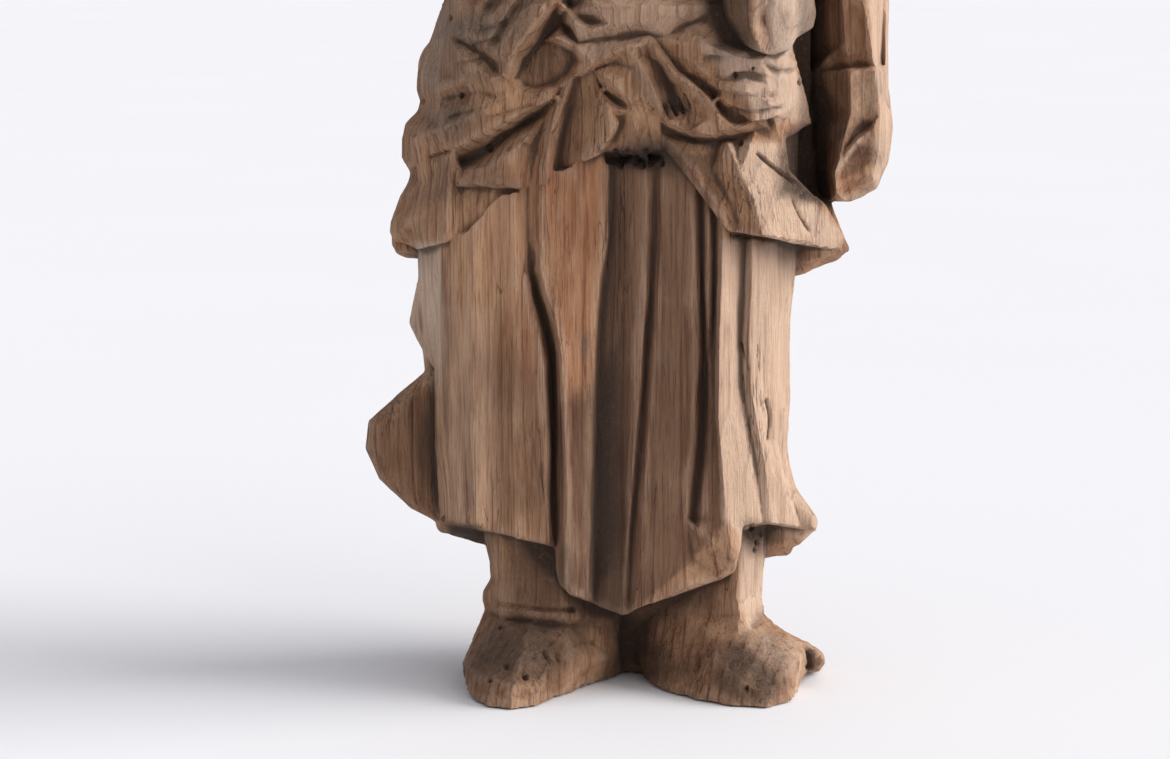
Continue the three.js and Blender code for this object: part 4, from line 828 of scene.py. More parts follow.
BAND_EDGES = [
    # The hanging sleeve and its bright rim.
    [(-38, 206, -4), (-43.5, 187, -12), (-47.6, 172, -11), (-51.1, 163, -10), (-51.3, 158, -9),
     (-50.4, 155, -8), (-51.2, 152.5, -7), (-54.6, 149, -7), (-55.7, 145, -6), (-55.6, 140, -6),
     (-53.4, 135.5, -7), (-56.2, 129.5, -8), (-58.6, 123, -9), (-59.2, 119, -9), (-55, 115, -10)],
    [(-36, 206, -18), (-42.5, 187, -25), (-43, 172, -25), (-45, 162, -22), (-46.8, 157.5, -19)],
    [(-10, 206, -29), (-16.5, 187, -39), (-19, 178, -39), (-24, 171, -38), (-27, 166, -37),
     (-29, 162, -34.5)],
    [(-6, 206, -29), (-12, 187, -36), (-13.8, 181.5, -36), (-21, 172, -35.5), (-25, 167, -35),
     (-27.2, 162, -34)],
    [(-38.5, 170.2, -29), (-34, 167.6, -31), (-31, 164.6, -32), (-29.4, 162.2, -33.2)],
    [(-37.5, 172.2, -31.4), (-33, 169.2, -33.4)],
    [(-39.5, 167, -30.5), (-35, 164, -32.6), (-31.5, 161, -33.4)],
    # The recess beside it.
    [(-9.6, 187, -31), (-11.2, 180.4, -31.4), (-18.4, 170.9, -31.4), (-22.6, 165.6, -31.2),
     (-24.6, 161.6, -31.8)],
    [(-18, 169.6, -32), (-10.4, 166.2, -33.6)],
    [(-24, 161, -32), (-22.6, 159.4, -32), (-19.6, 158.8, -32.2), (-14.8, 160.4, -32.4),
     (-11.6, 162.9, -32.8), (-9.9, 165.8, -33.2), (-10.6, 167.8, -33.6), (-15, 170.2, -33)],
    [(-26.4, 160.4, -33), (-24, 158, -33.5), (-20, 156.9, -34), (-14, 158.5, -34.6),
     (-10, 161.5, -35.4), (-7.7, 165.4, -36.2), (-8.9, 169.1, -36.4), (-14.5, 172, -36)],
    # The belly and the ledge below it.
    [(-14.5, 173, -34.4), (-8.5, 170.2, -35), (-3, 171.2, -36), (4, 172, -36.6), (10.5, 172.4, -37),
     (15, 172.2, -37), (19, 174.6, -36), (24, 176.6, -34.5), (27.5, 179, -33), (28.5, 187, -32),
     (26, 206, -28)],
    [(-9.6, 161.6, -35.8), (-4.4, 164.8, -38), (0, 168, -38.8), (4.5, 169.8, -39.2),
     (9.3, 170.6, -39.2)],
    [(-4, 206, -30), (-9, 186, -38), (-4, 180.4, -38.6), (5, 180.2, -39.6), (14, 182.4, -39.6),
     (20, 188, -38.4), (20, 206, -29)],
    [(-4, 179.4, -38), (5, 179.2, -39), (14, 181.2, -39), (20.4, 186, -38)],
    [(0, 175.4, -38.2), (10, 176, -39), (19, 178.6, -37.6)],
    [(-14.8, 178, -33), (-13, 175.6, -32.4), (-11.4, 174, -32.4)],
    [(-12, 179.4, -36.8), (-9.4, 175.6, -37), (-5, 173.6, -37.4)],
    [(-9.8, 178.6, -34.4), (-5.8, 176.2, -34.6)],
    # The knot.
    [(-3.9, 163.4, -36), (1, 165.2, -36.6), (6.4, 163.5, -38.2)],
    [(-3.6, 162.8, -37.4), (1, 159.4, -38.6), (5.2, 155, -38)],
    [(-2.3, 158, -34.5), (1, 155.6, -34.8), (4.4, 153.8, -36.2)],
    [(-4.4, 163, -36), (-2.8, 157.4, -35.8), (-0.8, 153, -37.4), (1.3, 148.6, -37.4),
     (-1, 144.6, -36.6), (-3.8, 140.9, -35.8), (-4, 137, -35)],
    [(4.4, 152.6, -36.2), (2.8, 149.8, -34.8), (1.2, 145.4, -34), (-1, 141.8, -33.5)],
    [(-9.4, 161, -34), (-11.4, 152, -31.8), (-13.3, 144, -31.4), (-14.2, 137.4, -31.6),
     (-14, 133, -31.8)],
    [(-10.4, 161, -35.4), (-14, 153.6, -35.6), (-16.2, 146, -36), (-17, 137.6, -36),
     (-17.2, 130, -35.6)],
    [(-13.4, 158, -34), (-17.4, 151, -32.6), (-19.8, 144, -32.4), (-21, 137, -33),
     (-21.2, 130, -33.4)],
    # The roll of cloth on the left hip, and the trough below it.
    [(-50.3, 155, -9), (-45.5, 155.5, -21), (-40, 156.5, -27), (-35, 157.5, -30.4)],
    [(-45, 159, -24), (-40, 161, -29), (-34, 160.4, -32)],
    [(-52, 146, -17), (-45, 148, -27), (-40, 150, -30), (-34, 152.5, -32.4), (-27, 155, -33.6),
     (-20.6, 156, -34.2)],
    [(-53.2, 137.6, -12), (-50, 139.2, -18), (-45, 141.2, -24.5), (-41.4, 142.6, -28),
     (-37, 145.2, -30.5), (-30, 148.8, -33), (-24, 151.6, -34.2), (-18.5, 154.2, -35),
     (-14.6, 156.6, -35)],
    [(-40, 138.6, -24.5), (-34, 141.6, -26.5), (-28, 146, -28), (-21.5, 150.2, -29.5),
     (-18, 152.2, -31)],
    [(-39.6, 136.4, -28), (-33, 137.6, -31), (-26, 141.6, -33), (-21.8, 145.6, -33.6)],
    [(-41, 132.9, -29), (-35, 132.9, -31), (-30, 132.8, -33), (-24, 131.9, -33.6)],
    [(-41, 132, -27.8), (-35, 132, -29.6), (-30, 131.9, -31.4), (-24, 131, -32), (-22, 130.6, -33)],
    [(-43, 140.4, -27), (-43.6, 130, -28.5), (-44.6, 115, -29)],
    [(-41, 139.2, -27), (-41.2, 130, -28.4), (-42, 115, -29)],
    [(-50, 133, -17), (-52, 124, -18), (-50, 115, -20)],
    [(-36, 126, -30), (-38, 119, -29.4)],
    # Below the knot.
    [(5.4, 152.6, -36.6), (6, 147, -35.4), (5, 139, -33)],
    [(9.5, 151.8, -37), (9.8, 147, -35.6), (9.4, 139, -33)],
    [(13.2, 149.6, -36.4), (13.4, 146, -35), (13, 141, -34)],
    # The chipped fold and the long thin ridge to the right.
    [(5.6, 168.4, -39.4), (8.2, 163.6, -39.8), (11.4, 157.6, -39.8), (13.2, 152.4, -38.8)],
    [(9.6, 169.6, -38), (10.8, 166, -37), (12.4, 160, -36.6), (14.6, 153, -36.4)],
    [(12.6, 165.4, -36.6), (15.4, 159.6, -35), (17.6, 154, -34.6)],
    [(10, 172, -38.6), (13.2, 167, -39.6), (17.2, 162, -40.2), (22.2, 158.8, -40.2),
     (25.8, 155.6, -40.2), (28.4, 151.4, -40.2), (31.4, 149, -39.6)],
    [(11.6, 171.8, -37), (14.6, 167.6, -37), (18.4, 162.9, -37), (23, 159.8, -37),
     (27, 156.4, -37), (29.6, 152.4, -37), (32.2, 150, -37.4)],
    [(15.4, 171.4, -37.6), (20.4, 170.2, -38.6), (21.6, 166.5, -39.2), (24.4, 162.8, -39.8),
     (28, 160.4, -40.2), (29.9, 156, -40), (32.6, 152.6, -39.4)],
    [(24.4, 154.4, -38.6), (26.8, 150.4, -39.2), (27.8, 146.2, -38.4)],
    [(20.4, 152.6, -36), (20.8, 148.2, -36.6)],
    [(13.6, 150.8, -37), (17, 148.6, -37.8), (21, 147.1, -38), (27, 146, -38.2)],
    [(13.8, 148.4, -34.6), (17.6, 146.2, -34), (23, 144.7, -34), (29, 144.5, -34.6),
     (33, 144.8, -35)],
    # The gathered cloth on the right hip.
    [(28.6, 174, -36), (33, 170.6, -36.4), (38, 169.6, -36.8), (43.5, 169, -36),
     (47.8, 169.3, -31), (49, 187, -26), (46, 206, -12)],
    [(22.4, 172.4, -38.4), (26, 170, -40), (33, 167, -41), (40, 166, -40.5), (46, 165, -35)],
    [(24.4, 166, -39.2), (27, 163.8, -39.8), (31, 162, -40.2), (36, 161.8, -40.2),
     (42, 159.4, -38.6), (47, 158, -33)],
    [(31, 158.4, -41), (36, 157.4, -41.8), (42, 155, -40), (48, 153, -32)],
    [(28.8, 147.4, -39), (33.4, 147.6, -39.8), (38.4, 149.6, -39.6), (44.4, 151.2, -36.4),
     (48, 151, -30)],
    [(33.8, 146, -36), (38.6, 147.2, -35.8), (44.4, 147, -33), (46.6, 145, -30)],
    [(48.2, 169.3, -29), (50.5, 162.4, -26), (52.6, 155, -24), (53.6, 149, -20)],
    # The skirt of the robe on the right.
    [(15.6, 144, -36.4), (22.4, 135.4, -38), (29.2, 126, -39), (32.4, 118, -39)],
    [(22, 143.4, -35.2), (27, 136.6, -36.4), (32.4, 127, -37.6), (35.4, 117, -37.8)],
    [(31.4, 143.6, -38), (34.6, 136, -39.8), (38.6, 128, -40.4), (41.2, 117, -40.4)],
    [(46.6, 143, -31), (47.6, 137, -32), (53, 131, -30), (57.6, 127.5, -27), (62.4, 119, -24),
     (62, 113, -24)],
]

FIST_OUTLINE = [
    (53, 200), (53, 163), (53.4, 150), (54.5, 136), (56.6, 129.6), (58.2, 128.4), (64, 128.3),
    (70.9, 131.9), (74, 138.6), (75, 147.9), (73.7, 158.5), (72.4, 165), (72.4, 200),
]
FIST_EDGES = [
    [(52, 201, 2), (52, 163, 2), (53, 150, -1), (54.2, 136, -4), (56.4, 128, -6)],
    [(60.5, 201, -13), (61, 185, -13), (62, 171, -12.6), (63.5, 164, -12)],
    [(65, 201, -13.4), (66, 184, -13.6), (69, 171, -13), (70.2, 164.2, -12)],
    [(73, 201, -3), (73, 165, -3), (74, 158, -5), (75.4, 148, -6), (74.4, 138, -6), (71.4, 130, -8)],
    [(53.6, 162.4, -5), (63.6, 163, -15.2), (70.4, 163.3, -14.6), (73.2, 162.4, -7)],
    [(63.6, 162.2, -15.4), (64, 152, -16.6), (61.6, 143, -17.4), (59.8, 136, -16.6),
     (60.2, 130.6, -14)],
    [(70.6, 162.6, -14.6), (71.6, 152, -15.2), (71.6, 142, -15.4), (70, 135, -13.8)],
    [(65, 151.2, -16.2), (68, 151, -15.4)],
    [(69.6, 147.6, -17), (65.4, 144.4, -18.6), (61.4, 139, -17.4)],
    [(69.6, 149, -14.8), (66, 147, -15.6), (62.6, 142.6, -16.4)],
    [(70.6, 139.4, -14.6), (66, 137.6, -15.2), (61.4, 134, -15)],
    [(57.4, 127, -8), (64, 127, -9), (70.6, 130, -8)],
]


KNOB_OUTLINE = [
    (29.5, 187), (30, 179), (31.5, 174), (35, 170), (41, 167.4), (43.4, 167.4), (47.6, 168.8),
    (49, 171.5), (53.5, 174.5), (54.3, 178), (53.6, 182), (53.4, 188), (51, 195), (44, 200),
    (36, 198), (30.5, 193),
]
KNOB_EDGES = [
    [(29, 196, -36), (28.5, 187, -36), (29.5, 177, -36), (34, 169.5, -37), (40, 165.8, -40)],
    [(32.4, 199, -41), (32, 187, -42), (32.6, 178, -43), (37, 169.6, -43)],
    [(36, 201, -43), (37.4, 188, -48), (36.4, 179, -50), (37.6, 173, -49), (40, 168, -46)],
    [(38, 180.6, -50.6), (39.4, 176, -48.4)],
    [(41, 182, -50), (40.6, 176, -47.4)],
    [(42, 202, -42), (40.4, 188, -47), (41.8, 181, -50.4), (41.6, 174, -47.4), (43.6, 167, -44)],
    [(46, 182.6, -48), (48, 178, -47)],
    [(48, 201, -38), (51.6, 186, -42), (50.6, 181, -43.6), (49.4, 175, -42), (47.8, 168, -40)],
    [(43, 173.4, -47.6), (46.4, 173, -45.6), (49.2, 175.4, -43)],
    [(53, 196, -32), (55, 178, -32), (54, 173.4, -32), (49.5, 169.5, -34), (47.6, 167, -36)],
]

LEFT_FOOT_OUTLINE = [
    (-34, 60), (-34, 37), (-32.6, 30), (-32.4, 25.5), (-34.4, 22), (-34.6, 19.6), (-33.9, 17),
    (-36, 12), (-38, 7), (-40, 2), (-39.6, -3), (-38, -8), (-36, -13), (-20, -13), (3, -6), (3, 60),
]
LEFT_FOOT_EDGES = [
    [(-40.4, -14, -30), (-40.5, -4, -22), (-40.6, 2, -19), (-38.4, 7, -14), (-36.4, 12, -11),
     (-34.2, 17, -9), (-35, 20, -9), (-32.6, 25.5, -8), (-33, 30, -8), (-34.4, 37, -8), (-34, 61, -8)],
    [(-37.8, -14, -31), (-37.8, -8, -31), (-36.8, -1.4, -29.5), (-33, 5, -24.5), (-31, 10, -21),
     (-29.4, 14.4, -18.5)],
    [(-33.4, -14, -38), (-33.4, -9.6, -38), (-31.4, -3.6, -37)],
    [(-27, -14, -41), (-27, -11, -41), (-26.6, -4.8, -39.6)],
    [(-20.6, -14, -38), (-20.6, -10, -38), (-19.4, -5.4, -36.8), (-16.4, 2.4, -31), (-12, 4.6, -26.4),
     (0, 4, -12)],
    [(-36.8, -1.4, -29.5), (-31.4, -3.6, -37), (-26.6, -4.8, -39.6), (-19.4, -5.4, -36.8)],
    [(-24.6, 1.6, -34.6), (-22.8, 9, -27), (-21, 13.4, -22.6)],
    [(-14, -10, -28), (-13.4, -6.8, -27.6), (-9.6, -1, -23.4)],
    [(-8, -8, -20), (-7.8, -5, -19.6), (-2, -6, -10), (3, -6, -5)],
    [(-35, 13.4, -12), (-29.4, 14.4, -18.5), (-20.4, 13.6, -22), (-12, 12.6, -20.6), (3, 11, -9)],
    [(-29.2, 16, -20.2), (-20.4, 15.4, -23.4), (-12, 14.6, -22.4), (3, 14, -10)],
    [(-30.6, 61, -18), (-30.4, 36, -18.4), (-29.4, 25, -19.6), (-28.6, 16.2, -20.6)],
    [(-25.4, 61, -22), (-25.4, 34, -22.4), (-26.4, 24, -22.4), (-26.2, 16.4, -22.8)],
    [(-14, 61, -22), (-13.6, 34, -22.6), (-13, 15.4, -22.8)],
    [(3, 61, -10), (3, 14, -10)],
]
RIGHT_FOOT_OUTLINE = [
    (2, 60), (2, 16), (6.6, 12.6), (7.4, 5), (8.4, 0), (10.4, -4), (12, -13), (48, -14), (50.2, -9),
    (51.4, -5.4), (52.2, -3), (54, -0.7), (57.2, -0.4), (58.8, 2), (58.2, 4.6), (56, 6.4), (50, 9.6),
    (45, 12.7), (42.1, 15.4), (41.4, 20), (41.8, 30), (42, 60),
]
RIGHT_FOOT_EDGES = [
    [(0, 61, -8), (1, 16, -5), (6.4, 11, -5), (7, 4, -6), (8, -2, -8), (9.6, -6, -13), (10, -14, -14)],
    [(15.6, -14, -24), (15.2, -6.4, -22.6), (13.4, 1, -17), (13, 9, -13.6), (15, 18, -13.6), (14, 61, -16)],
    [(24, -14, -31.6), (24, -8.6, -31.4), (22, -1.6, -26.6), (20.6, 7, -21.6), (21, 16, -18.6),
     (23.6, 23, -17.4), (24, 61, -20)],
    [(33, -15, -37.4), (33, -10, -37.4), (31.4, -4.4, -34.8), (29, 2, -30), (28.6, 8, -25.6),
     (29.4, 15, -21.4), (29.6, 27, -20), (30, 61, -20)],
    [(42.6, -15, -39), (42.6, -10, -39), (41.4, -5.4, -37.4)],
    [(49.8, -14, -32.6), (50, -8.8, -32.6), (48.6, -3.2, -32), (49.4, 1.4, -29.6), (45.4, 6, -26.6),
     (41, 9, -24.6), (37.8, 11.4, -23.4), (35.6, 15.4, -22.8), (34.6, 20, -22.4), (34.6, 27, -22),
     (35, 38, -22), (35.4, 61, -22)],
    [(31.4, -4.4, -34.8), (36, -4, -37), (41.4, -5.4, -37.4), (45.6, -3.4, -36), (48.6, -3.2, -32)],
    [(31.6, 5.6, -27.8), (34.4, 8.4, -26.4), (37.6, 7, -28), (40.6, 3.6, -31), (45.6, -3.4, -36)],
    [(51, -6, -25), (52.6, -3.4, -22), (54.4, 0, -20), (54.2, 5.8, -20), (50.4, 8.4, -19),
     (45.4, 11.6, -16)],
    [(59.6, -1, -20), (59.4, 2, -20), (58.4, 5.4, -18), (56, 7.4, -16), (50.4, 10.6, -13),
     (45, 13.8, -11), (42.6, 15.8, -11), (41.8, 22, -11), (42.4, 38, -11), (42.6, 61, -11)],
]

SKIRT_FRONT = faceted(SKIRT_OUTLINE, SKIRT_EDGES, 4, 0.3, 200)
BAND_FRONT = faceted(BAND_OUTLINE, BAND_EDGES, 4, 0.6, 184)
FIST_FRONT = faceted(FIST_OUTLINE, FIST_EDGES, 2, 0.6, 186)
KNOB_FRONT = faceted(KNOB_OUTLINE, KNOB_EDGES, -22, 0.3, 200)
LEFT_FOOT_FRONT = faceted(LEFT_FOOT_OUTLINE, LEFT_FOOT_EDGES, 6, 0.3, 60)
RIGHT_FOOT_FRONT = faceted(RIGHT_FOOT_OUTLINE, RIGHT_FOOT_EDGES, 4, 0.3, 60)
FRONTS = [LEFT_FOOT_FRONT, RIGHT_FOOT_FRONT, SKIRT_FRONT, BAND_FRONT, FIST_FRONT, KNOB_FRONT]


def mark_face(relief):
    """Lids, nostrils, lips and the line below them."""
    for side in (-1, 1):
        u, v = seen(side * 7, -19, 272)
        relief.fold([[u - 4.2, v + 0.9], [u, v - 0.9], [u + 4.2, v + 0.9]], -0.9, 0.7, 0.7)
        relief.fold([[u - 4.2, v + 2.2], [u, v + 3.6], [u + 4.2, v + 2.2]], -0.5, 0.6, 0.6)
        relief.fold([[u + side * 1.4 - 5, v + 5.8], [u, v + 7.6], [u + side * 2 + 4, v + 5.6]],
                    -0.5, 0.7, 0.7)
        u, v = seen(side * 4.4, -20, 267)
        relief.fold([[u, v + 0.6], [u + side * 2.4, v - 3.6]], -0.5, 1.1, 1.1)
        relief.boss(seen(side * 1.5, -21, 265), [0.9, 0.7], -1.0)
        relief.boss(seen(side * 5.4, -18, 261), [1.2, 1.2], -0.9)
    u, v = seen(0, -20, 261)
    relief.fold([[u - 5, v + 0.5], [u - 2, v - 0.2], [u, v + 0.2], [u + 2, v - 0.2], [u + 5, v + 0.5]],
                -1.0, 0.7, 0.7)
    relief.fold([[u, v + 4.4], [u, v + 2]], -0.5, 0.8, 0.8)
    relief.fold([[u - 3.4, v - 3.4], [u, v - 4], [u + 3.4, v - 3.4]], -0.7, 1.2, 1.2)


def hair(points):
    """Combed hair over the head, drawn up to a knot on the crown with a cord around it."""
    x, y, z = points.T
    line = np.interp(y, (-21, -17, -11, -5, 3, 20), (290, 286, 279, 268, 261, 255))
    on_head = ease(z, line - 0.3, line + 0.3) * ease(np.hypot(x, y), 26, 22)
    strand = np.abs(np.sin(np.arctan2(x, y - 3) * 21 + 0.03 * z))
    knot = ease(np.hypot(x, y - 4), 10.5, 9.5) * ease(np.abs(z - 290.5), 1.3, 0.5)
    return on_head * (0.9 - 0.45 * (1 - strand) ** 2) - 1.1 * knot * on_head


def mark_front(relief):
    """Small cracks, holes, torn wood and chips, as they are seen from in front."""
    mark_face(relief)
    relief.fold([[51.6, 8.4], [54, 5.6], [54.6, 2], [54.2, -1]], -1.8, 0.8, 0.6, [0.1, 0.1])
    relief.fold([[42, 75.5], [43.2, 70], [42.8, 63]], -1.2, 0.6, 0.6, [0.1, 0.1])
    relief.fold([[-2, 141], [2, 139.6], [5, 140.4], [8, 139.2], [13.5, 141]], -2.6, 1.0, 1.8)
    for k in range(9):
        u, v = -0.5 + 1.7 * k, 139.8 + 1.3 * math.sin(2.3 * k)
        relief.fold([[u, v + 1.5], [u + 0.9 * math.sin(1.7 * k), v - 1.6]], -2.4, 0.8, 0.8)
    # Gathered cloth on the right hip.
    for rows in ([[25, 163.4], [30, 161], [36, 162.4], [44, 160.6]], [[27, 158], [34, 156.4], [46, 157]],
                 [[30, 153.6], [38, 152], [48, 154]], [[40, 165.6], [45, 163], [50, 164]],
                 [[24, 167], [32, 166.6], [40, 167.4]], [[33, 150.6], [40, 149], [46, 151]]):
        relief.fold(rows, -1.0, 0.8, 2.2)
    # Loose fibres and tears in the sleeve.
    for u, v in ((-37, 166), (-33, 171), (-31, 175), (-40, 152), (-30, 151.6), (-24, 153.4), (-46, 141)):
        relief.fold([[u - 4, v - 1.2], [u + 4, v + 1.2]], -0.8, 0.5, 1.4)
    relief.fold([[38, 142], [44.6, 136.6], [50, 132.4]], -1.3, 0.7, 0.7)
    relief.fold([[48, 130], [51, 124], [54, 119.5]], -0.9, 0.6, 0.6)
    relief.fold([[31, 119.6], [42, 118.4], [56, 116.4]], -0.8, 0.7, 0.7)
    relief.fold([[-18.5, 6], [-15.6, 1]], -1.6, 0.9, 0.9)
    relief.fold([[-15, 5], [-13.6, 1.5]], -1.2, 0.7, 0.7)
    relief.fold([[35, 91], [36.2, 86], [37.4, 82]], -0.8, 0.5, 0.5)
    relief.fold([[-4, 94], [-4.6, 88]], -0.7, 0.5, 0.5)
    for centre, size in [((-52.5, 146.5), 1.3), ((-50, 155), 1.0), ((-39.5, 156.5), 0.9),
                         ((-32, 142.5), 1.1), ((1.8, 139), 1.3), ((6.5, 138.6), 1.0),
                         ((11.6, 140.4), 1.5), ((43, 148.4), 1.2), ((34.6, 144), 0.9),
                         ((50.6, 160), 1.2), ((38.4, 39.6), 1.0), ((40, 35.5), 0.9), ((41, 38), 0.7),
                         ((39.4, 33.4), 0.7), ((-28.4, 1), 1.2), ((-33, -3), 0.9), ((-23, -2), 0.9),
                         ((-30, 12), 0.8), ((37.5, -5.4), 0.9), ((33, 162), 0.7),
                         ((38, 163.4), 0.7), ((-42.6, 177), 0.8)]:
        relief.boss(centre, [size, size * 1.3], -2.0)
    for u, v in ((17.2, 153.4), (19, 154), (20.6, 155), (15.6, 152.4)):
        relief.fold([[u - 1.4, v + 2.4], [u + 0.6, v - 2.4]], -1.8, 0.5, 0.5)


def patch(drawing, outline, strength, soft):
    """A tint inside an outline, fading over its edge."""
    edge = Drawing()
    edge.outline(outline)
    drawing.map += strength * ease(edge.map, soft, -soft)


def stain_grime_and_paint_shade(tint):
    # Dirt on the feet and a real stain in the recess, and painted shade where shadow falls: in the undercut
    # below the knot, between the fist and the body, beside the sash's end, between the feet and under the
    # hems.
    tint.boss([12, 141], [16, 9], 0.9, -10)
    patch(tint, [(50, 128), (50, 206), (60.5, 206), (61, 185), (62.5, 165), (64, 158), (63.4, 147),
                 (58, 140), (58, 128)], 0.5, 1.2)
    patch(tint, [(45, 130), (46.5, 147), (54, 149), (60, 128)], 0.9, 2)
    patch(tint, [(-30, 140), (-46, 140), (-53, 128), (-41, 128), (-22, 131)], 0.3, 3)
    patch(tint, [(-9, 168), (-13, 160), (-22, 158), (-27, 163), (-18, 172)], 0.15, 3)
    patch(tint, [(26, 184), (38, 184), (37, 176), (39, 168), (28, 168)], 0.6, 1.5)
    patch(tint, [(-6, 75), (3.4, 92), (4, 14), (-6.4, 16)], 0.55, 3)
    patch(tint, [(28, -3), (32, 7), (38, 6), (41, 2), (49, -3), (45, -9), (34, -9)], 0.55, 2)
    patch(tint, [(-41, 0), (-30, 14), (-12, 13), (-4, 6), (-18, -3), (-30, -4)], 0.5, 3)
    patch(tint, [(-28, 36), (-12, 34), (-10, 15), (-27, 16)], 0.45, 3)
    patch(tint, [(1, 14), (9, 12), (20, 0), (10, -6), (-3, -4)], 0.7, 4)
    patch(tint, [(-44, 41), (-36, 40), (-34, 34), (-44, 36)], 0.9, 1)
    patch(tint, [(-3, 142), (15, 142.4), (13, 137), (0, 137.4)], 0.9, 1.4)
    patch(tint, [(53.6, 6.4), (56.4, 5.4), (56, 0), (53.6, 0)], 0.7, 0.8)
    patch(tint, [(36, 42), (42, 41), (42, 32), (38, 32)], 0.5, 1.6)


def stain_dark_and_paint_shade(tint):
    # Darker wood, and painted shade: on the slope of the skirt that faces away from the lamps, along its
    # grooves, on the shaded side of the fist and on the folds of the knot.
    patch(tint, [(-0.4, 141), (29.4, 141), (29.4, 60), (31, 41), (22, 30), (4, 14), (-6, 14),
                 (-5.4, 40), (-4.9, 60), (-4.4, 80), (-3.5, 97), (-2.4, 108), (-0.8, 120)], 0.8, 0.35)
    patch(tint, [(-15, 75), (-14, 40), (-14.5, 28), (-9, 17), (-5, 19), (-6, 75)], 0.6, 3)
    patch(tint, [(-36, 85), (-24, 90), (-17, 80), (-16, 45), (-30, 40)], 0.5, 5)
    patch(tint, [(-41, 75), (-37, 78), (-36.4, 44), (-40, 44)], 0.35, 2)
    patch(tint, [(-11, 30), (-6, 30), (-6.4, 16), (-9, 18)], 0.4, 2)
    patch(tint, [(7, 15), (30, 27), (34, 27), (35, 14), (30, 4), (16, -6), (7, 2)], 0.4, 2)
    patch(tint, [(-70, 80), (-47, 77), (-46, 42), (-70, 40)], 0.5, 2)
    patch(tint, [(61, 186), (65.6, 186), (69.6, 164), (63.4, 164)], 0.45, 0.8)
    patch(tint, [(57, 147), (63.4, 148), (60.4, 137), (60, 130), (56, 131)], 0.6, 1)
    patch(tint, [(62, 137.6), (66, 142.6), (70.6, 146.6), (71.6, 141), (66, 136), (61, 134.4)], 0.75, 0.5)
    patch(tint, [(65.6, 150), (70.4, 150), (70.6, 146), (67, 142), (64, 140)], 0.7, 0.8)
    patch(tint, [(68.6, 148), (72.4, 147), (73.4, 141), (70.6, 136.4), (67.4, 139)], 0.45, 1)
    patch(tint, [(-13, 78), (-6, 78), (-6, 20), (-13, 22)], 0.4, 2)
    patch(tint, [(-41, 2), (-30, 8), (-12, 8), (-6, 0), (-12, -10), (-38, -12)], 0.5, 2)
    patch(tint, [(22, 4), (30, 9), (46, 2), (50, -4), (46, -12), (20, -10)], 0.5, 2)
    patch(tint, [(-12, 162), (-4, 163), (-1, 152), (-4, 138), (-18, 133), (-16, 148)], 0.3, 1)
    tint.fold([[-23, 118], [-22.4, 108], [-18.6, 94], [-16.6, 84], [-16.2, 66], [-15.6, 44]],
              0.45, 1.6, 2.4)
    tint.fold([[12, 128], [10.6, 100], [8.8, 75], [6.6, 50], [4, 20]], 0.5, 1.3, 1.3)
    tint.fold([[25, 128], [25.6, 90], [25, 66], [23.2, 44]], 0.6, 1.4, 1.4)
    tint.fold([[28.2, 116], [28, 85], [28.2, 60]], 0.5, 1.3, 1.3)
    tint.fold([[-45, 118], [-44.8, 80], [-44.4, 60]], 0.9, 1.8, 0.5)


def stain_patina(tint):
    tint.boss([-42, 150], [12, 9], 0.9, 20)
    tint.boss([-36, 174], [14, 6], 0.7, 5)
    patch(tint, [(-40, 206), (-47, 172), (-52, 156), (-30, 160), (-20, 174), (-6, 206)], 0.5, 4)
    tint.boss([17, 153], [6, 5], 0.6)
    tint.boss([-6.5, 89.5], [1.6, 6.5], 1.0, -4)
    tint.boss([14, 84], [2, 5], 0.4)
    patch(tint, [(-40, 0), (-30, 16), (-14, 13), (-20, 0)], 0.5, 4)
    patch(tint, [(34, 12), (46, 9), (50, 0), (44, -4), (32, 2)], 0.5, 3)


def stain_dust_and_paint_sheen(tint):
    tint.fold([[-13, 173], [-8, 169], [0, 168]], 0.5, 3, 3)
    tint.fold([[5, 167], [9, 160], [14, 153]], 0.6, 3, 3)
    patch(tint, [(41, 183), (54, 183), (53, 174), (47, 168), (42, 170)], 0.7, 1.5)
    patch(tint, [(64, 163), (70.4, 162.5), (71.4, 155), (70.6, 151), (65, 150)], 0.7, 0.8)
    patch(tint, [(24, 170), (48, 169), (51, 160), (52, 151), (40, 150), (30, 163)], 0.45, 3)
    patch(tint, [(37, 12), (43, 12), (50, 8), (50, -1), (44, 2)], 0.6, 2)
    # The left rim of the hanging sleeve is painted pale grey: dust, and a painted sheen on the rim that
    # faces left.
    patch(tint, [(-54, 206), (-51, 160), (-46, 158), (-42, 187), (-36, 206)], 0.5, 0.8)


def stain_warm(tint):
    tint.boss([-22, 134], [16, 8], 0.8, 8)
    patch(tint, [(-31, 124), (-22, 124), (-18, 96), (-18, 80), (-30, 82)], 0.5, 4)
    patch(tint, [(-18, 140), (-1, 140), (-1.2, 120), (-3.8, 97), (-4.6, 80), (-5.4, 44), (-11, 44),
                 (-13, 84)], 0.75, 0.5)
    patch(tint, [(-11, 46), (-5.4, 46), (-6.4, 16), (-9, 18)], 0.55, 1)
    patch(tint, [(36.5, 180), (41, 181), (43, 169), (39.5, 168)], 0.8, 0.8)
    tint.boss([28, 148], [9, 2.4], 0.6, 8)
    tint.boss([-40, 181], [8, 2], 0.6, 10)
    patch(tint, [(60, 136), (68, 136), (70, 132), (60, 130)], 0.7, 0.6)


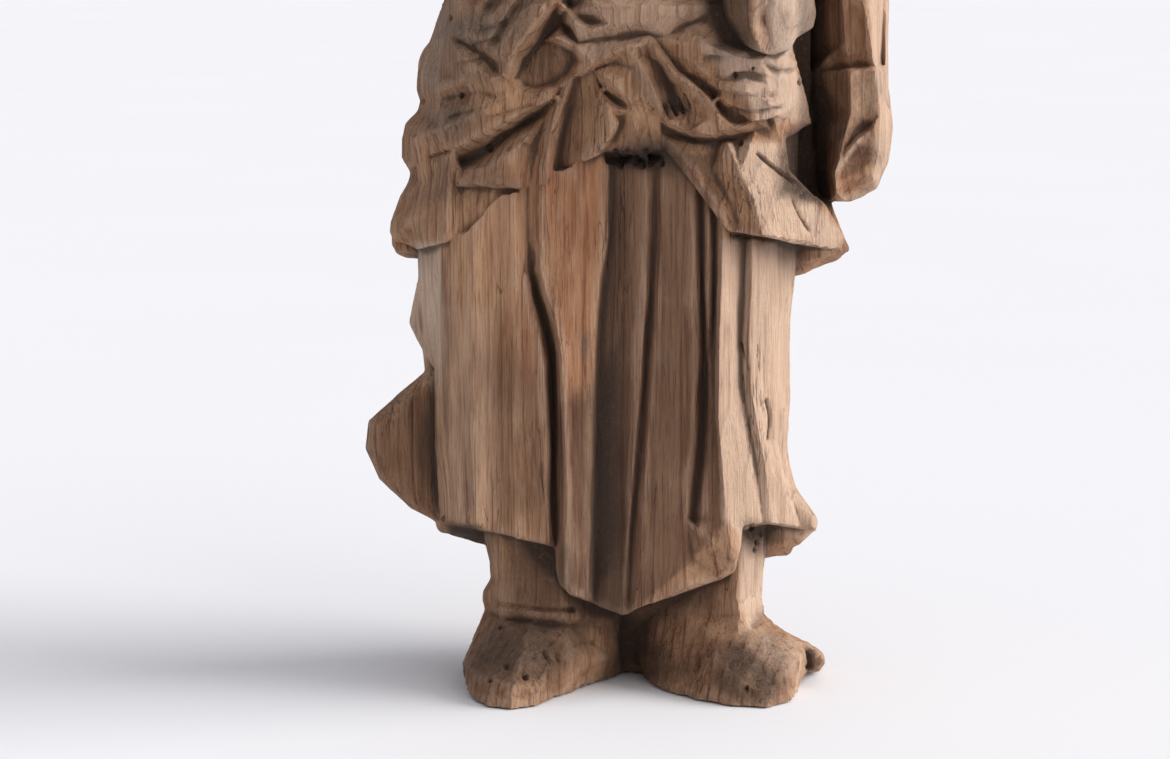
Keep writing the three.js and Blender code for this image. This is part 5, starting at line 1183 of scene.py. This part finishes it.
def stain_bleached_and_paint_light(tint):
    # Bleached wood, and painted light on the faces turned towards the lamps: the right flank and ankle, the
    # toe, the fist, the flap, the gathered cloth and the sash's end.
    patch(tint, [(29.6, 118), (50, 117), (49, 60), (60, 42), (58, 36), (35, 38), (30.4, 42), (29.4, 70)],
          0.72, 0.5)
    patch(tint, [(35.4, 38), (43, 38), (42.4, 16), (38, 11), (35, 20)], 0.9, 0.5)
    patch(tint, [(48, 12), (60, 8), (60, -4), (50.5, -10), (49.6, 0)], 0.4, 0.8)
    patch(tint, [(66, 206), (76, 206), (76, 146), (72, 128), (60, 128), (70, 134), (71.6, 152),
                 (69.8, 164)], 0.62, 0.6)
    patch(tint, [(31.5, 144), (46, 144), (47, 136), (63, 119), (60, 114), (42, 117)], 0.75, 1)
    patch(tint, [(-12, 182), (26, 186), (26, 174), (-4, 167), (-12, 172)], 0.35, 2)
    patch(tint, [(-31.6, 100), (-44.6, 100), (-45, 42), (-31, 42)], 0.2, 3)
    # The left side is paler towards the robe.
    for low in (92, 88, 84, 80, 76):
        patch(tint, [(-51.5, 117), (-45.4, 117), (-45, low), (-48, low + 1), (-56, low + 8)], 0.22, 1)
    patch(tint, [(38, 206), (54, 206), (54, 174), (48, 168), (43, 168), (38, 174)], 0.7, 0.6)
    patch(tint, [(66, 150.6), (64.6, 145), (60.6, 138.6), (59.4, 135), (62, 138), (67, 145)], 0.6, 0.4)
    patch(tint, [(24, 170), (48, 169), (51, 160), (52, 150), (40, 150), (30, 163)], 0.65, 2)


def cavities(wood, radius):
    """How much wood lies within a radius of each cell: half on a flat face, more in a hollow."""
    share = np.clip(0.5 - wood.field / CELL, 0, 1)
    n = max(1, round(radius / CELL))
    for axis in range(3):
        total = np.cumsum(share, axis)
        ahead = np.minimum(np.arange(wood.n[axis]) + n, wood.n[axis] - 1)
        behind = np.maximum(np.arange(wood.n[axis]) - n - 1, 0)
        share = (np.take(total, ahead, axis) - np.take(total, behind, axis)) / (2 * n + 1)
    return share


def even(wood):
    """Makes the gaps true distances close to the surface; returns how far each cell faces the
    front (less than 0) or the back."""
    slopes = np.gradient(wood.field, CELL)
    steep = np.sqrt(slopes[0] ** 2 + slopes[1] ** 2 + slopes[2] ** 2)
    wood.field = wood.field / np.clip(steep, 0.4, 1.6)
    return slopes[1] / (steep + 0.01)


def rise_at(front, back, places, facing):
    """How far the drawings of both sides raise the surface at some places."""
    u, v = seen(places[:, 0], places[:, 1], places[:, 2])
    return np.where(facing > 0, back.at(places[:, 0], places[:, 2]) * ease(facing, 0.2, 0.8),
                    front.at(u, v) * ease(-facing, 0.0, 0.6))


def carve(wood):
    """Cuts the reliefs of both sides into the wood, most where the surface faces them."""
    front, back = Drawing(), Drawing()
    carve_front(front)
    carve_back(back)
    facing = even(wood)
    close = np.abs(wood.field) < 8
    i, j, k = np.nonzero(close)
    places = np.stack([wood.axes[0][i], wood.axes[1][j], wood.axes[2][k]], 1)
    wood.field[close] -= rise_at(front, back, places, facing[close])


def close_sides(wood):
    """Ends the wood inside its block, and saws the soles flat."""
    wood.field = np.maximum(wood.field, -wood.axes[2][None, None, :])
    for axis in range(3):
        for row in (0, 1, -2, -1):
            side = [slice(None)] * 3
            side[axis] = row
            wood.field[tuple(side)] = np.maximum(wood.field[tuple(side)], CELL / 2)


def corner_patterns():
    """Which patterns of the 8 corners of a cell would leave two parts of the surface touching."""
    bad = np.zeros(256, bool)
    for pattern in range(256):
        for side in (True, False):
            own = [c for c in range(8) if bool(pattern >> c & 1) == side]
            group = own[:1]
            for c in group:
                group += [o for o in (c ^ 1, c ^ 2, c ^ 4) if o in own and o not in group]
            bad[pattern] |= len(group) < len(own)
        for axis in range(3):
            p, q = 1 << (axis + 1) % 3, 1 << (axis + 2) % 3
            for base in (0, 1 << axis):
                ring = [pattern >> c & 1 for c in (base, base | p, base | p | q, base | q)]
                bad[pattern] |= ring[0] == ring[2] != ring[1] == ring[3]
    return bad


def settle(wood):
    """Fills the cells where two parts of the surface would touch at an edge or a point."""
    bad = corner_patterns()
    corners = np.array([[c & 1, c >> 1 & 1, c >> 2 & 1] for c in range(8)])
    for _ in range(40):
        inside = wood.field < 0
        pattern = np.zeros(wood.n - 1, np.uint8)
        for c, (a, b, d) in enumerate(corners):
            part = inside[a:wood.n[0] - 1 + a, b:wood.n[1] - 1 + b, d:wood.n[2] - 1 + d]
            pattern |= part.astype(np.uint8) << c
        cells = np.argwhere(bad[pattern])
        if not len(cells):
            return
        for cell in cells:
            around = corners + cell
            gaps = wood.field[around[:, 0], around[:, 1], around[:, 2]]
            gaps = np.where(gaps >= 0, gaps, np.inf)
            wood.field[tuple(around[np.argmin(gaps)])] = -0.05 * CELL


def skin(wood):
    """The surface of the wood as points and four-sided faces."""
    field, inside = wood.field, wood.field < 0
    count = np.zeros(wood.n - 1, np.int8)
    for i in (0, 1):
        for j in (0, 1):
            for k in (0, 1):
                count += inside[i:wood.n[0] - 1 + i, j:wood.n[1] - 1 + j, k:wood.n[2] - 1 + k]
    cells = np.argwhere((count > 0) & (count < 8))
    ids = np.full(count.shape, -1, np.int64)
    ids[tuple(cells.T)] = np.arange(len(cells))
    total = np.zeros((len(cells), 3))
    crossings = np.zeros(len(cells))
    for axis in range(3):
        for p in (0, 1):
            for q in (0, 1):
                start = np.zeros(3, int)
                start[(axis + 1) % 3], start[(axis + 2) % 3] = p, q
                end = start.copy()
                end[axis] = 1
                a, b = field[tuple((cells + start).T)], field[tuple((cells + end).T)]
                crossed = (a < 0) != (b < 0)
                point = np.tile(start.astype(float), (len(cells), 1))
                point[:, axis] = np.where(crossed, a / np.where(crossed, a - b, 1), 0)
                total += point * crossed[:, None]
                crossings += crossed
    points = BLOCK_LOW + (cells + total / crossings[:, None]) * CELL
    faces = []
    for axis in range(3):
        p, q = (axis + 1) % 3, (axis + 2) % 3
        lower = [slice(None)] * 3
        upper = [slice(None)] * 3
        lower[axis], upper[axis] = slice(0, -1), slice(1, None)
        here, there = inside[tuple(lower)], inside[tuple(upper)]
        edges = np.argwhere(here != there)
        ring = []
        for s, t in ((1, 1), (0, 1), (0, 0), (1, 0)):
            cell = edges.copy()
            cell[:, p] -= s
            cell[:, q] -= t
            ring.append(ids[tuple(cell.T)])
        ring = np.stack(ring, 1)
        outward = here[tuple(edges.T)]
        faces.append(np.where(outward[:, None], ring, ring[:, ::-1]))
    return points, np.concatenate(faces)


def largest(points, faces):
    """Keeps the largest of the closed surfaces."""
    label = np.arange(len(points))
    a = np.concatenate([faces[:, k] for k in range(4)])
    b = np.concatenate([faces[:, (k + 1) % 4] for k in range(4)])
    while True:
        low = np.minimum(label[a], label[b])
        new = label.copy()
        np.minimum.at(new, a, low)
        np.minimum.at(new, b, low)
        new = new[new]
        if (new == label).all():
            break
        label = new
    keep = np.bincount(label).argmax()
    faces = faces[label[faces[:, 0]] == keep]
    used = np.zeros(len(points), bool)
    used[faces] = True
    return points[used], (np.cumsum(used) - 1)[faces]


def scattered(cells, seed):
    """Three even random numbers for each whole place, always the same ones."""
    with np.errstate(over="ignore"):
        h = (cells[:, 0] * 73856093 ^ cells[:, 1] * 19349663 ^ cells[:, 2] * 83492791) + seed * 7919
        out = []
        for k in range(3):
            h = (h ^ (h >> 13)) * 1274126177 & 0x7FFFFFFF
            out.append((h >> 7 & 0xFFFF) / 65536)
    return np.stack(out, 1)


def gouge(places, size, seed):
    """How far each place is from the middle of its own chisel cut, in shares of the cut's size."""
    spot = places / np.array(size)
    cell = np.floor(spot).astype(np.int64)
    best = np.full(len(places), np.inf)
    for step in np.ndindex(3, 3, 3):
        near = cell + np.array(step) - 1
        best = np.minimum(best, ((spot - near - scattered(near, seed)) ** 2).sum(1))
    return np.sqrt(best)


def snapped(points):
    """Moves the points of the front onto its facets, but for those on its steep sides."""
    points = points.copy()
    u, v = seen(points[:, 0], points[:, 1], points[:, 2])
    for front in FRONTS:
        depth = front.depth
        here = depth.at(u, v)
        steep = np.maximum(np.abs(depth.at(u + 0.6, v) - depth.at(u - 0.6, v)),
                           np.abs(depth.at(u, v + 0.6) - depth.at(u, v - 0.6))) / 1.2
        off = here - points[:, 1]
        near = ease(np.abs(off), 1.3, 0.5) * ease(front.edge.at(u, v), -0.3, -1.0)
        near = near * ease(v, front.top, front.top - 4)
        points[:, 1] += off * near * ease(steep, 1.8, 0.9)
    return points


def plain_mesh(name, points, faces):
    mesh = bpy.data.meshes.new(name)
    mesh.from_pydata(points.tolist(), [], faces.tolist())
    mesh.update()
    return mesh


def facings(mesh):
    out = np.empty(len(mesh.vertices) * 3, np.float32)
    mesh.vertex_normals.foreach_get("vector", out)
    return out.reshape(-1, 3)


def places_of(mesh):
    out = np.empty(len(mesh.vertices) * 3, np.float32)
    mesh.vertices.foreach_get("co", out)
    return out.reshape(-1, 3).astype(float)


def chisel(points, normals):
    """The finest carving: shallow chisel cuts all over, and the drawn marks of the front."""
    fine, none = Drawing(), Drawing()
    mark_front(fine)
    rise = rise_at(fine, none, points, normals[:, 1])
    cut = gouge(points, (6.0, 6.0, 15.0), 3)
    calm = 1 - 0.75 * ease(points[:, 2], 246, 254)
    rise += 0.45 * (cut**2 - 0.25) * calm + hair(points)
    rise += 0.13 * (gouge(points, (1.9, 1.9, 8.0), 5) ** 2 - 0.25)
    crusted = ease(points[:, 2], 17, 9)
    rise += crusted * 0.6 * (0.3 - gouge(points, (2.1, 2.1, 1.6), 7) ** 2)
    return points + normals * rise[:, None]


def thinned(mesh, faces, fine):
    """Joins faces until a number is left, and fewer at the fine points than elsewhere."""
    holder = bpy.data.objects.new("holder", mesh)
    bpy.context.scene.collection.objects.link(holder)
    joined = holder.vertex_groups.new(name="joined")
    joined.add(np.nonzero(~fine)[0].tolist(), 1.0, "REPLACE")
    joined.add(np.nonzero(fine)[0].tolist(), FRONT_SHARE, "REPLACE")
    joining = holder.modifiers.new("joining", "DECIMATE")
    joining.vertex_group = joined.name
    joining.vertex_group_factor = 1.0
    joining.ratio = faces / (2 * len(mesh.polygons))
    joining.use_collapse_triangulate = True
    ready = holder.evaluated_get(bpy.context.evaluated_depsgraph_get())
    out = bpy.data.meshes.new_from_object(ready)
    bpy.data.objects.remove(holder)
    return out


def tint(mesh, name, values):
    layer = mesh.attributes.new(name, "FLOAT", "POINT")
    layer.data.foreach_set("value", np.asarray(values, np.float32))


def carved_figure():
    """The whole figure as one mesh, with its stains and its painted light and shade as attributes."""
    wood = Wood()
    for make in (add_feet, add_skirt, add_robe, add_sash, shave_body, add_skirt_points, add_arms,
                 shave_arm, add_collar, add_head):
        make(wood)
    carve(wood)
    close_sides(wood)
    settle(wood)
    points, faces = largest(*skin(wood))
    points = snapped(points)
    mesh = plain_mesh("rough", points, faces)
    mesh.vertices.foreach_set("co", chisel(points, facings(mesh)).astype(np.float32).ravel())
    mesh.update()
    normals, points = facings(mesh), places_of(mesh)
    mesh = thinned(mesh, FACES, normals[:, 1] < 0.3)
    mesh.name = "carved_figure"
    points, normals = places_of(mesh), facings(mesh)
    # How deeply each point lies in a hollow, used for painted shade in the colour.
    tint(mesh, "hollow_shade", wood.near(cavities(wood, 9.0), points))
    tint(mesh, "edge", wood.near(cavities(wood, 2.4), points))
    stains_and_painted_light_and_shade = {"grime_and_shade": stain_grime_and_paint_shade, "dark_wood_and_shade": stain_dark_and_paint_shade, "patina": stain_patina,
              "dust_and_sheen": stain_dust_and_paint_sheen, "warm": stain_warm, "bleached_and_lit": stain_bleached_and_paint_light}
    for name, paint in stains_and_painted_light_and_shade.items():
        front = Drawing()
        paint(front)
        u, v = seen(points[:, 0], points[:, 1], points[:, 2])
        shown = ease(-normals[:, 1], -0.25, 0.25) * ease(v, 206, 182)
        tint(mesh, name, np.clip(front.at(u, v) * shown, 0, 1))
    points -= MIDDLE + [0, 0, points[:, 2].min()]
    mesh.vertices.foreach_set("co", (points * MM).astype(np.float32).ravel())
    mesh.polygons.foreach_set("use_smooth", np.ones(len(mesh.polygons), bool))
    mesh.set_sharp_from_angle(angle=math.radians(32))
    mesh.update()
    figure = bpy.data.objects.new("carved_figure", mesh)
    bpy.context.scene.collection.objects.link(figure)
    return figure


def add(tree, kind, values=None, **settings):
    """A shader node with its settings, and its inputs set or joined."""
    made = tree.nodes.new(kind)
    for name, value in settings.items():
        setattr(made, name, value)
    for name, value in (values or {}).items():
        if isinstance(value, bpy.types.NodeSocket):
            tree.links.new(value, made.inputs[name])
        else:
            made.inputs[name].default_value = value
    return made


def sums(tree, operation, a, b=0.0, c=None, clamp=False):
    values = {0: a, 1: b}
    if c is not None:
        values[2] = c
    return add(tree, "ShaderNodeMath", values, operation=operation, use_clamp=clamp).outputs[0]


def between(tree, value, low, high, smooth=True):
    """0 below low, 1 above high."""
    kind = "SMOOTHSTEP" if smooth else "LINEAR"
    return add(tree, "ShaderNodeMapRange", {"Value": value, "From Min": low, "From Max": high},
               interpolation_type=kind).outputs["Result"]


def mix(tree, share, a, b, way="MIX"):
    made = add(tree, "ShaderNodeMix", data_type="RGBA", blend_type=way, clamp_factor=True)
    for index, value in ((0, share), (6, a), (7, b)):
        if isinstance(value, bpy.types.NodeSocket):
            tree.links.new(value, made.inputs[index])
        else:
            made.inputs[index].default_value = (*value, 1.0) if index else value
    return made.outputs[2]


def speckle(tree, places, scale, detail=3.0, rough=0.55, stretch=(1, 1, 1), warp=0.0):
    spot = add(tree, "ShaderNodeVectorMath", {0: places, 1: stretch}, operation="MULTIPLY").outputs[0]
    return add(tree, "ShaderNodeTexNoise", {"Vector": spot, "Scale": scale, "Detail": detail,
                                            "Roughness": rough, "Distortion": warp}).outputs["Fac"]


def old_wood():
    """Weathered softwood with upright grain: growth lines, fibres, grime and dust; worn edges with a painted
    highlight, painted shade in hollows, creases and gaps, and painted light on bleached faces towards the
    lamps.
    """
    made = bpy.data.materials.new("old_wood")
    made.use_nodes = True
    tree = made.node_tree
    tree.nodes.clear()
    where = add(tree, "ShaderNodeTexCoord").outputs["Object"]
    # Everything below is counted in millimetres.
    spot = add(tree, "ShaderNodeVectorMath", {0: where, "Scale": 1 / MM}, operation="SCALE").outputs[0]

    wander = speckle(tree, spot, 0.03, 3.0, 0.5, (1, 1, 0.16))
    away = add(tree, "ShaderNodeVectorMath", {0: spot, 1: (230.0, -130.0, 0.0)},
               operation="ADD").outputs[0]
    flat = add(tree, "ShaderNodeVectorMath", {0: away, 1: (1, 1, 0.0)}, operation="MULTIPLY").outputs[0]
    radius = add(tree, "ShaderNodeVectorMath", {0: flat}, operation="LENGTH").outputs["Value"]
    years = sums(tree, "ADD", sums(tree, "DIVIDE", radius, 3.4), sums(tree, "MULTIPLY", wander, 3.6))
    growth = sums(tree, "FRACT", years)
    rising = between(tree, growth, 0.55, 0.95, False)
    falling = between(tree, growth, 1.0, 0.95, False)
    late = sums(tree, "MULTIPLY", sums(tree, "POWER", rising, 3.0), falling)
    broken = speckle(tree, spot, 0.5, 3.0, 0.6, (1, 1, 0.05))
    late = sums(tree, "MULTIPLY", late, between(tree, broken, 0.34, 0.62))

    fibre = speckle(tree, spot, 2.6, 3.0, 0.7, (1, 1, 0.03))
    streak = speckle(tree, spot, 0.5, 3.0, 0.62, (1, 1, 0.04))
    cloud = speckle(tree, spot, 0.045, 3.0, 0.6, (1, 1, 0.5))
    grit = speckle(tree, spot, 0.7, 5.0, 0.75)
    mottle = speckle(tree, spot, 0.13, 4.0, 0.65, (1, 1, 0.3))
    blotch = speckle(tree, spot, 0.30, 4.0, 0.7, (1, 1, 0.55))
    crack = speckle(tree, spot, 0.55, 2.0, 0.5, (1, 1, 0.045), 0.6)
    crack = sums(tree, "ABSOLUTE", sums(tree, "SUBTRACT", crack, 0.5))
    where_cracked = between(tree, speckle(tree, spot, 0.11, 2.0, 0.5, (1, 1, 0.3)), 0.52, 0.66)
    crack = sums(tree, "MULTIPLY", between(tree, crack, 0.018, 0.004), where_cracked)

    def layer(name):
        return add(tree, "ShaderNodeAttribute", attribute_name=name).outputs["Fac"]

    hollow_shade = between(tree, layer("hollow_shade"), 0.50, 0.74)
    worn_and_lit_edge = between(tree, layer("edge"), 0.50, 0.36)
    soiled = sums(tree, "ADD", layer("patina"), layer("grime_and_shade"), clamp=True)
    colour = mix(tree, between(tree, cloud, 0.35, 0.68), (0.365, 0.200, 0.108), (0.51, 0.300, 0.170))
    # Bleached wood, with painted light on the faces towards the lamps.
    colour = mix(tree, sums(tree, "MULTIPLY", layer("bleached_and_lit"), 0.8), colour, (0.57, 0.415, 0.31))
    warm = sums(tree, "MULTIPLY", layer("warm"), between(tree, streak, 0.25, 0.6))
    colour = mix(tree, warm, colour, (0.43, 0.205, 0.105))
    # Darker wood, and painted shade on the front.
    colour = mix(tree, sums(tree, "MULTIPLY", layer("dark_wood_and_shade"), 0.85), colour, (0.150, 0.077, 0.047))
    patina = sums(tree, "MULTIPLY", layer("patina"), between(tree, cloud, 0.2, 0.5))
    colour = mix(tree, sums(tree, "MULTIPLY", patina, 0.8), colour, (0.20, 0.155, 0.125))
    # Convex edges are painted lighter: wear, and a painted highlight.
    colour = mix(tree, sums(tree, "MULTIPLY", worn_and_lit_edge, 0.5), colour, (0.50, 0.33, 0.225))
    colour = mix(tree, sums(tree, "MULTIPLY", between(tree, mottle, 0.42, 0.66), 0.55), colour,
                 (0.66, 0.57, 0.52), "MULTIPLY")
    colour = mix(tree, sums(tree, "MULTIPLY", between(tree, blotch, 0.40, 0.28), 0.5), colour,
                 (1.22, 1.24, 1.26), "MULTIPLY")
    colour = mix(tree, sums(tree, "MULTIPLY", between(tree, streak, 0.45, 0.72), 0.8), colour,
                 (0.60, 0.47, 0.39), "MULTIPLY")
    colour = mix(tree, sums(tree, "MULTIPLY", late, 0.95), colour, (0.36, 0.24, 0.19), "MULTIPLY")
    colour = mix(tree, sums(tree, "MULTIPLY", between(tree, fibre, 0.45, 0.72), 0.9), colour,
                 (0.55, 0.46, 0.41), "MULTIPLY")
    # More of the bleached wood and painted light, laid over the grain.
    colour = mix(tree, sums(tree, "MULTIPLY", layer("bleached_and_lit"), 0.38), colour, (0.68, 0.51, 0.385))
    # Dust, and a painted sheen on the sleeve's rim, lighten the colour.
    dust_and_sheen_mask = sums(tree, "MULTIPLY", layer("dust_and_sheen"), between(tree, grit, 0.36, 0.66))
    colour = mix(tree, sums(tree, "MULTIPLY", dust_and_sheen_mask, 0.7), colour, (0.46, 0.38, 0.315))
    # Painted shade in the creases.
    crease_shade = between(tree, layer("edge"), 0.54, 0.68)
    colour = mix(tree, sums(tree, "MULTIPLY", crease_shade, 0.75), colour, (0.06, 0.032, 0.02))
    # Painted shade in the hollows, together with the grime and painted shade drawn on the front, darkens the
    # colour.
    grime_and_shade = sums(tree, "ADD", sums(tree, "MULTIPLY", hollow_shade, 0.8), layer("grime_and_shade"), clamp=True)
    grime_and_shade = sums(tree, "MULTIPLY", grime_and_shade, between(tree, grit, 0.1, 0.5))
    colour = mix(tree, grime_and_shade, colour, (0.075, 0.045, 0.03))
    crumbs = sums(tree, "MULTIPLY", between(tree, grit, 0.52, 0.64), layer("patina"))
    colour = mix(tree, sums(tree, "MULTIPLY", crumbs, 0.5), colour, (0.33, 0.26, 0.205))
    colour = mix(tree, sums(tree, "MULTIPLY", crack, 0.6), colour, (0.22, 0.15, 0.12), "MULTIPLY")

    rough = sums(tree, "SUBTRACT", 0.82, sums(tree, "MULTIPLY", late, 0.14))
    height = sums(tree, "ADD", sums(tree, "MULTIPLY", late, 0.10),
                  sums(tree, "MULTIPLY", fibre, 0.45))
    height = sums(tree, "ADD", height, sums(tree, "MULTIPLY", grit, 0.55))
    height = sums(tree, "ADD", height, sums(tree, "MULTIPLY", sums(tree, "MULTIPLY", grit, soiled), 1.6))
    height = sums(tree, "SUBTRACT", height, sums(tree, "MULTIPLY", crack, 0.5))
    bump = add(tree, "ShaderNodeBump", {"Height": height, "Strength": 0.9, "Distance": MM})
    shader = add(tree, "ShaderNodeBsdfPrincipled", {
        "Base Color": colour, "Roughness": rough, "Normal": bump.outputs["Normal"],
        "Specular IOR Level": 0.35})
    out = add(tree, "ShaderNodeOutputMaterial", {"Surface": shader.outputs["BSDF"]})
    out.is_active_output = True
    return made


def pale_floor():
    """A matt pale floor, a little uneven in tone."""
    made = bpy.data.materials.new("pale_floor")
    made.use_nodes = True
    tree = made.node_tree
    shader = tree.nodes["Principled BSDF"]
    where = add(tree, "ShaderNodeTexCoord").outputs["Object"]
    mottle = speckle(tree, where, 3.0, 2.0, 0.5)
    tree.links.new(mix(tree, mottle, (0.82, 0.82, 0.842), (0.85, 0.85, 0.866)),
                   shader.inputs["Base Color"])
    shader.inputs["Roughness"].default_value = 0.9
    shader.inputs["Specular IOR Level"].default_value = 0.1
    return made


def studio():
    """A pale floor, soft light from the right and the camera of the photograph."""
    side = 30.0
    mesh = plain_mesh("floor", np.array([(-side, -side, 0), (side, -side, 0), (side, side, 0),
                                         (-side, side, 0)]), np.array([[0, 1, 2, 3]]))
    mesh.materials.append(pale_floor())
    floor = bpy.data.objects.new("floor", mesh)
    bpy.context.scene.collection.objects.link(floor)

    for name, energy, angle, height, around in (("key", 3.3, 40, 26, 86), ("soft", 1.0, 60, 36, 56)):
        sun = bpy.data.lights.new(name, "SUN")
        sun.energy = energy
        sun.angle = math.radians(angle)
        sun.color = (1.0, 0.985, 0.97)
        lamp = bpy.data.objects.new(name, sun)
        lamp.rotation_euler = (math.radians(90 - height), 0.0, math.radians(around))
        bpy.context.scene.collection.objects.link(lamp)

    world = bpy.data.worlds.new("room")
    world.use_nodes = True
    room = world.node_tree.nodes["Background"]
    room.inputs["Color"].default_value = (0.93, 0.94, 1.0, 1.0)
    room.inputs["Strength"].default_value = 0.5
    bpy.context.scene.world = world

    lens = bpy.data.cameras.new("view")
    lens.lens = LENS
    lens.sensor_width = FILM
    view = bpy.data.objects.new("view", lens)
    view.location = ((np.array(SIGHT) - MIDDLE) * MM).tolist()
    view.rotation_euler = (math.radians(90 - LOOK_DOWN), 0.0, 0.0)
    bpy.context.scene.collection.objects.link(view)
    bpy.context.scene.camera = view
    bpy.context.scene.view_settings.view_transform = "Standard"


studio()
figure = carved_figure()
figure.data.materials.append(old_wood())
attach(figure, "root")
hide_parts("figure")
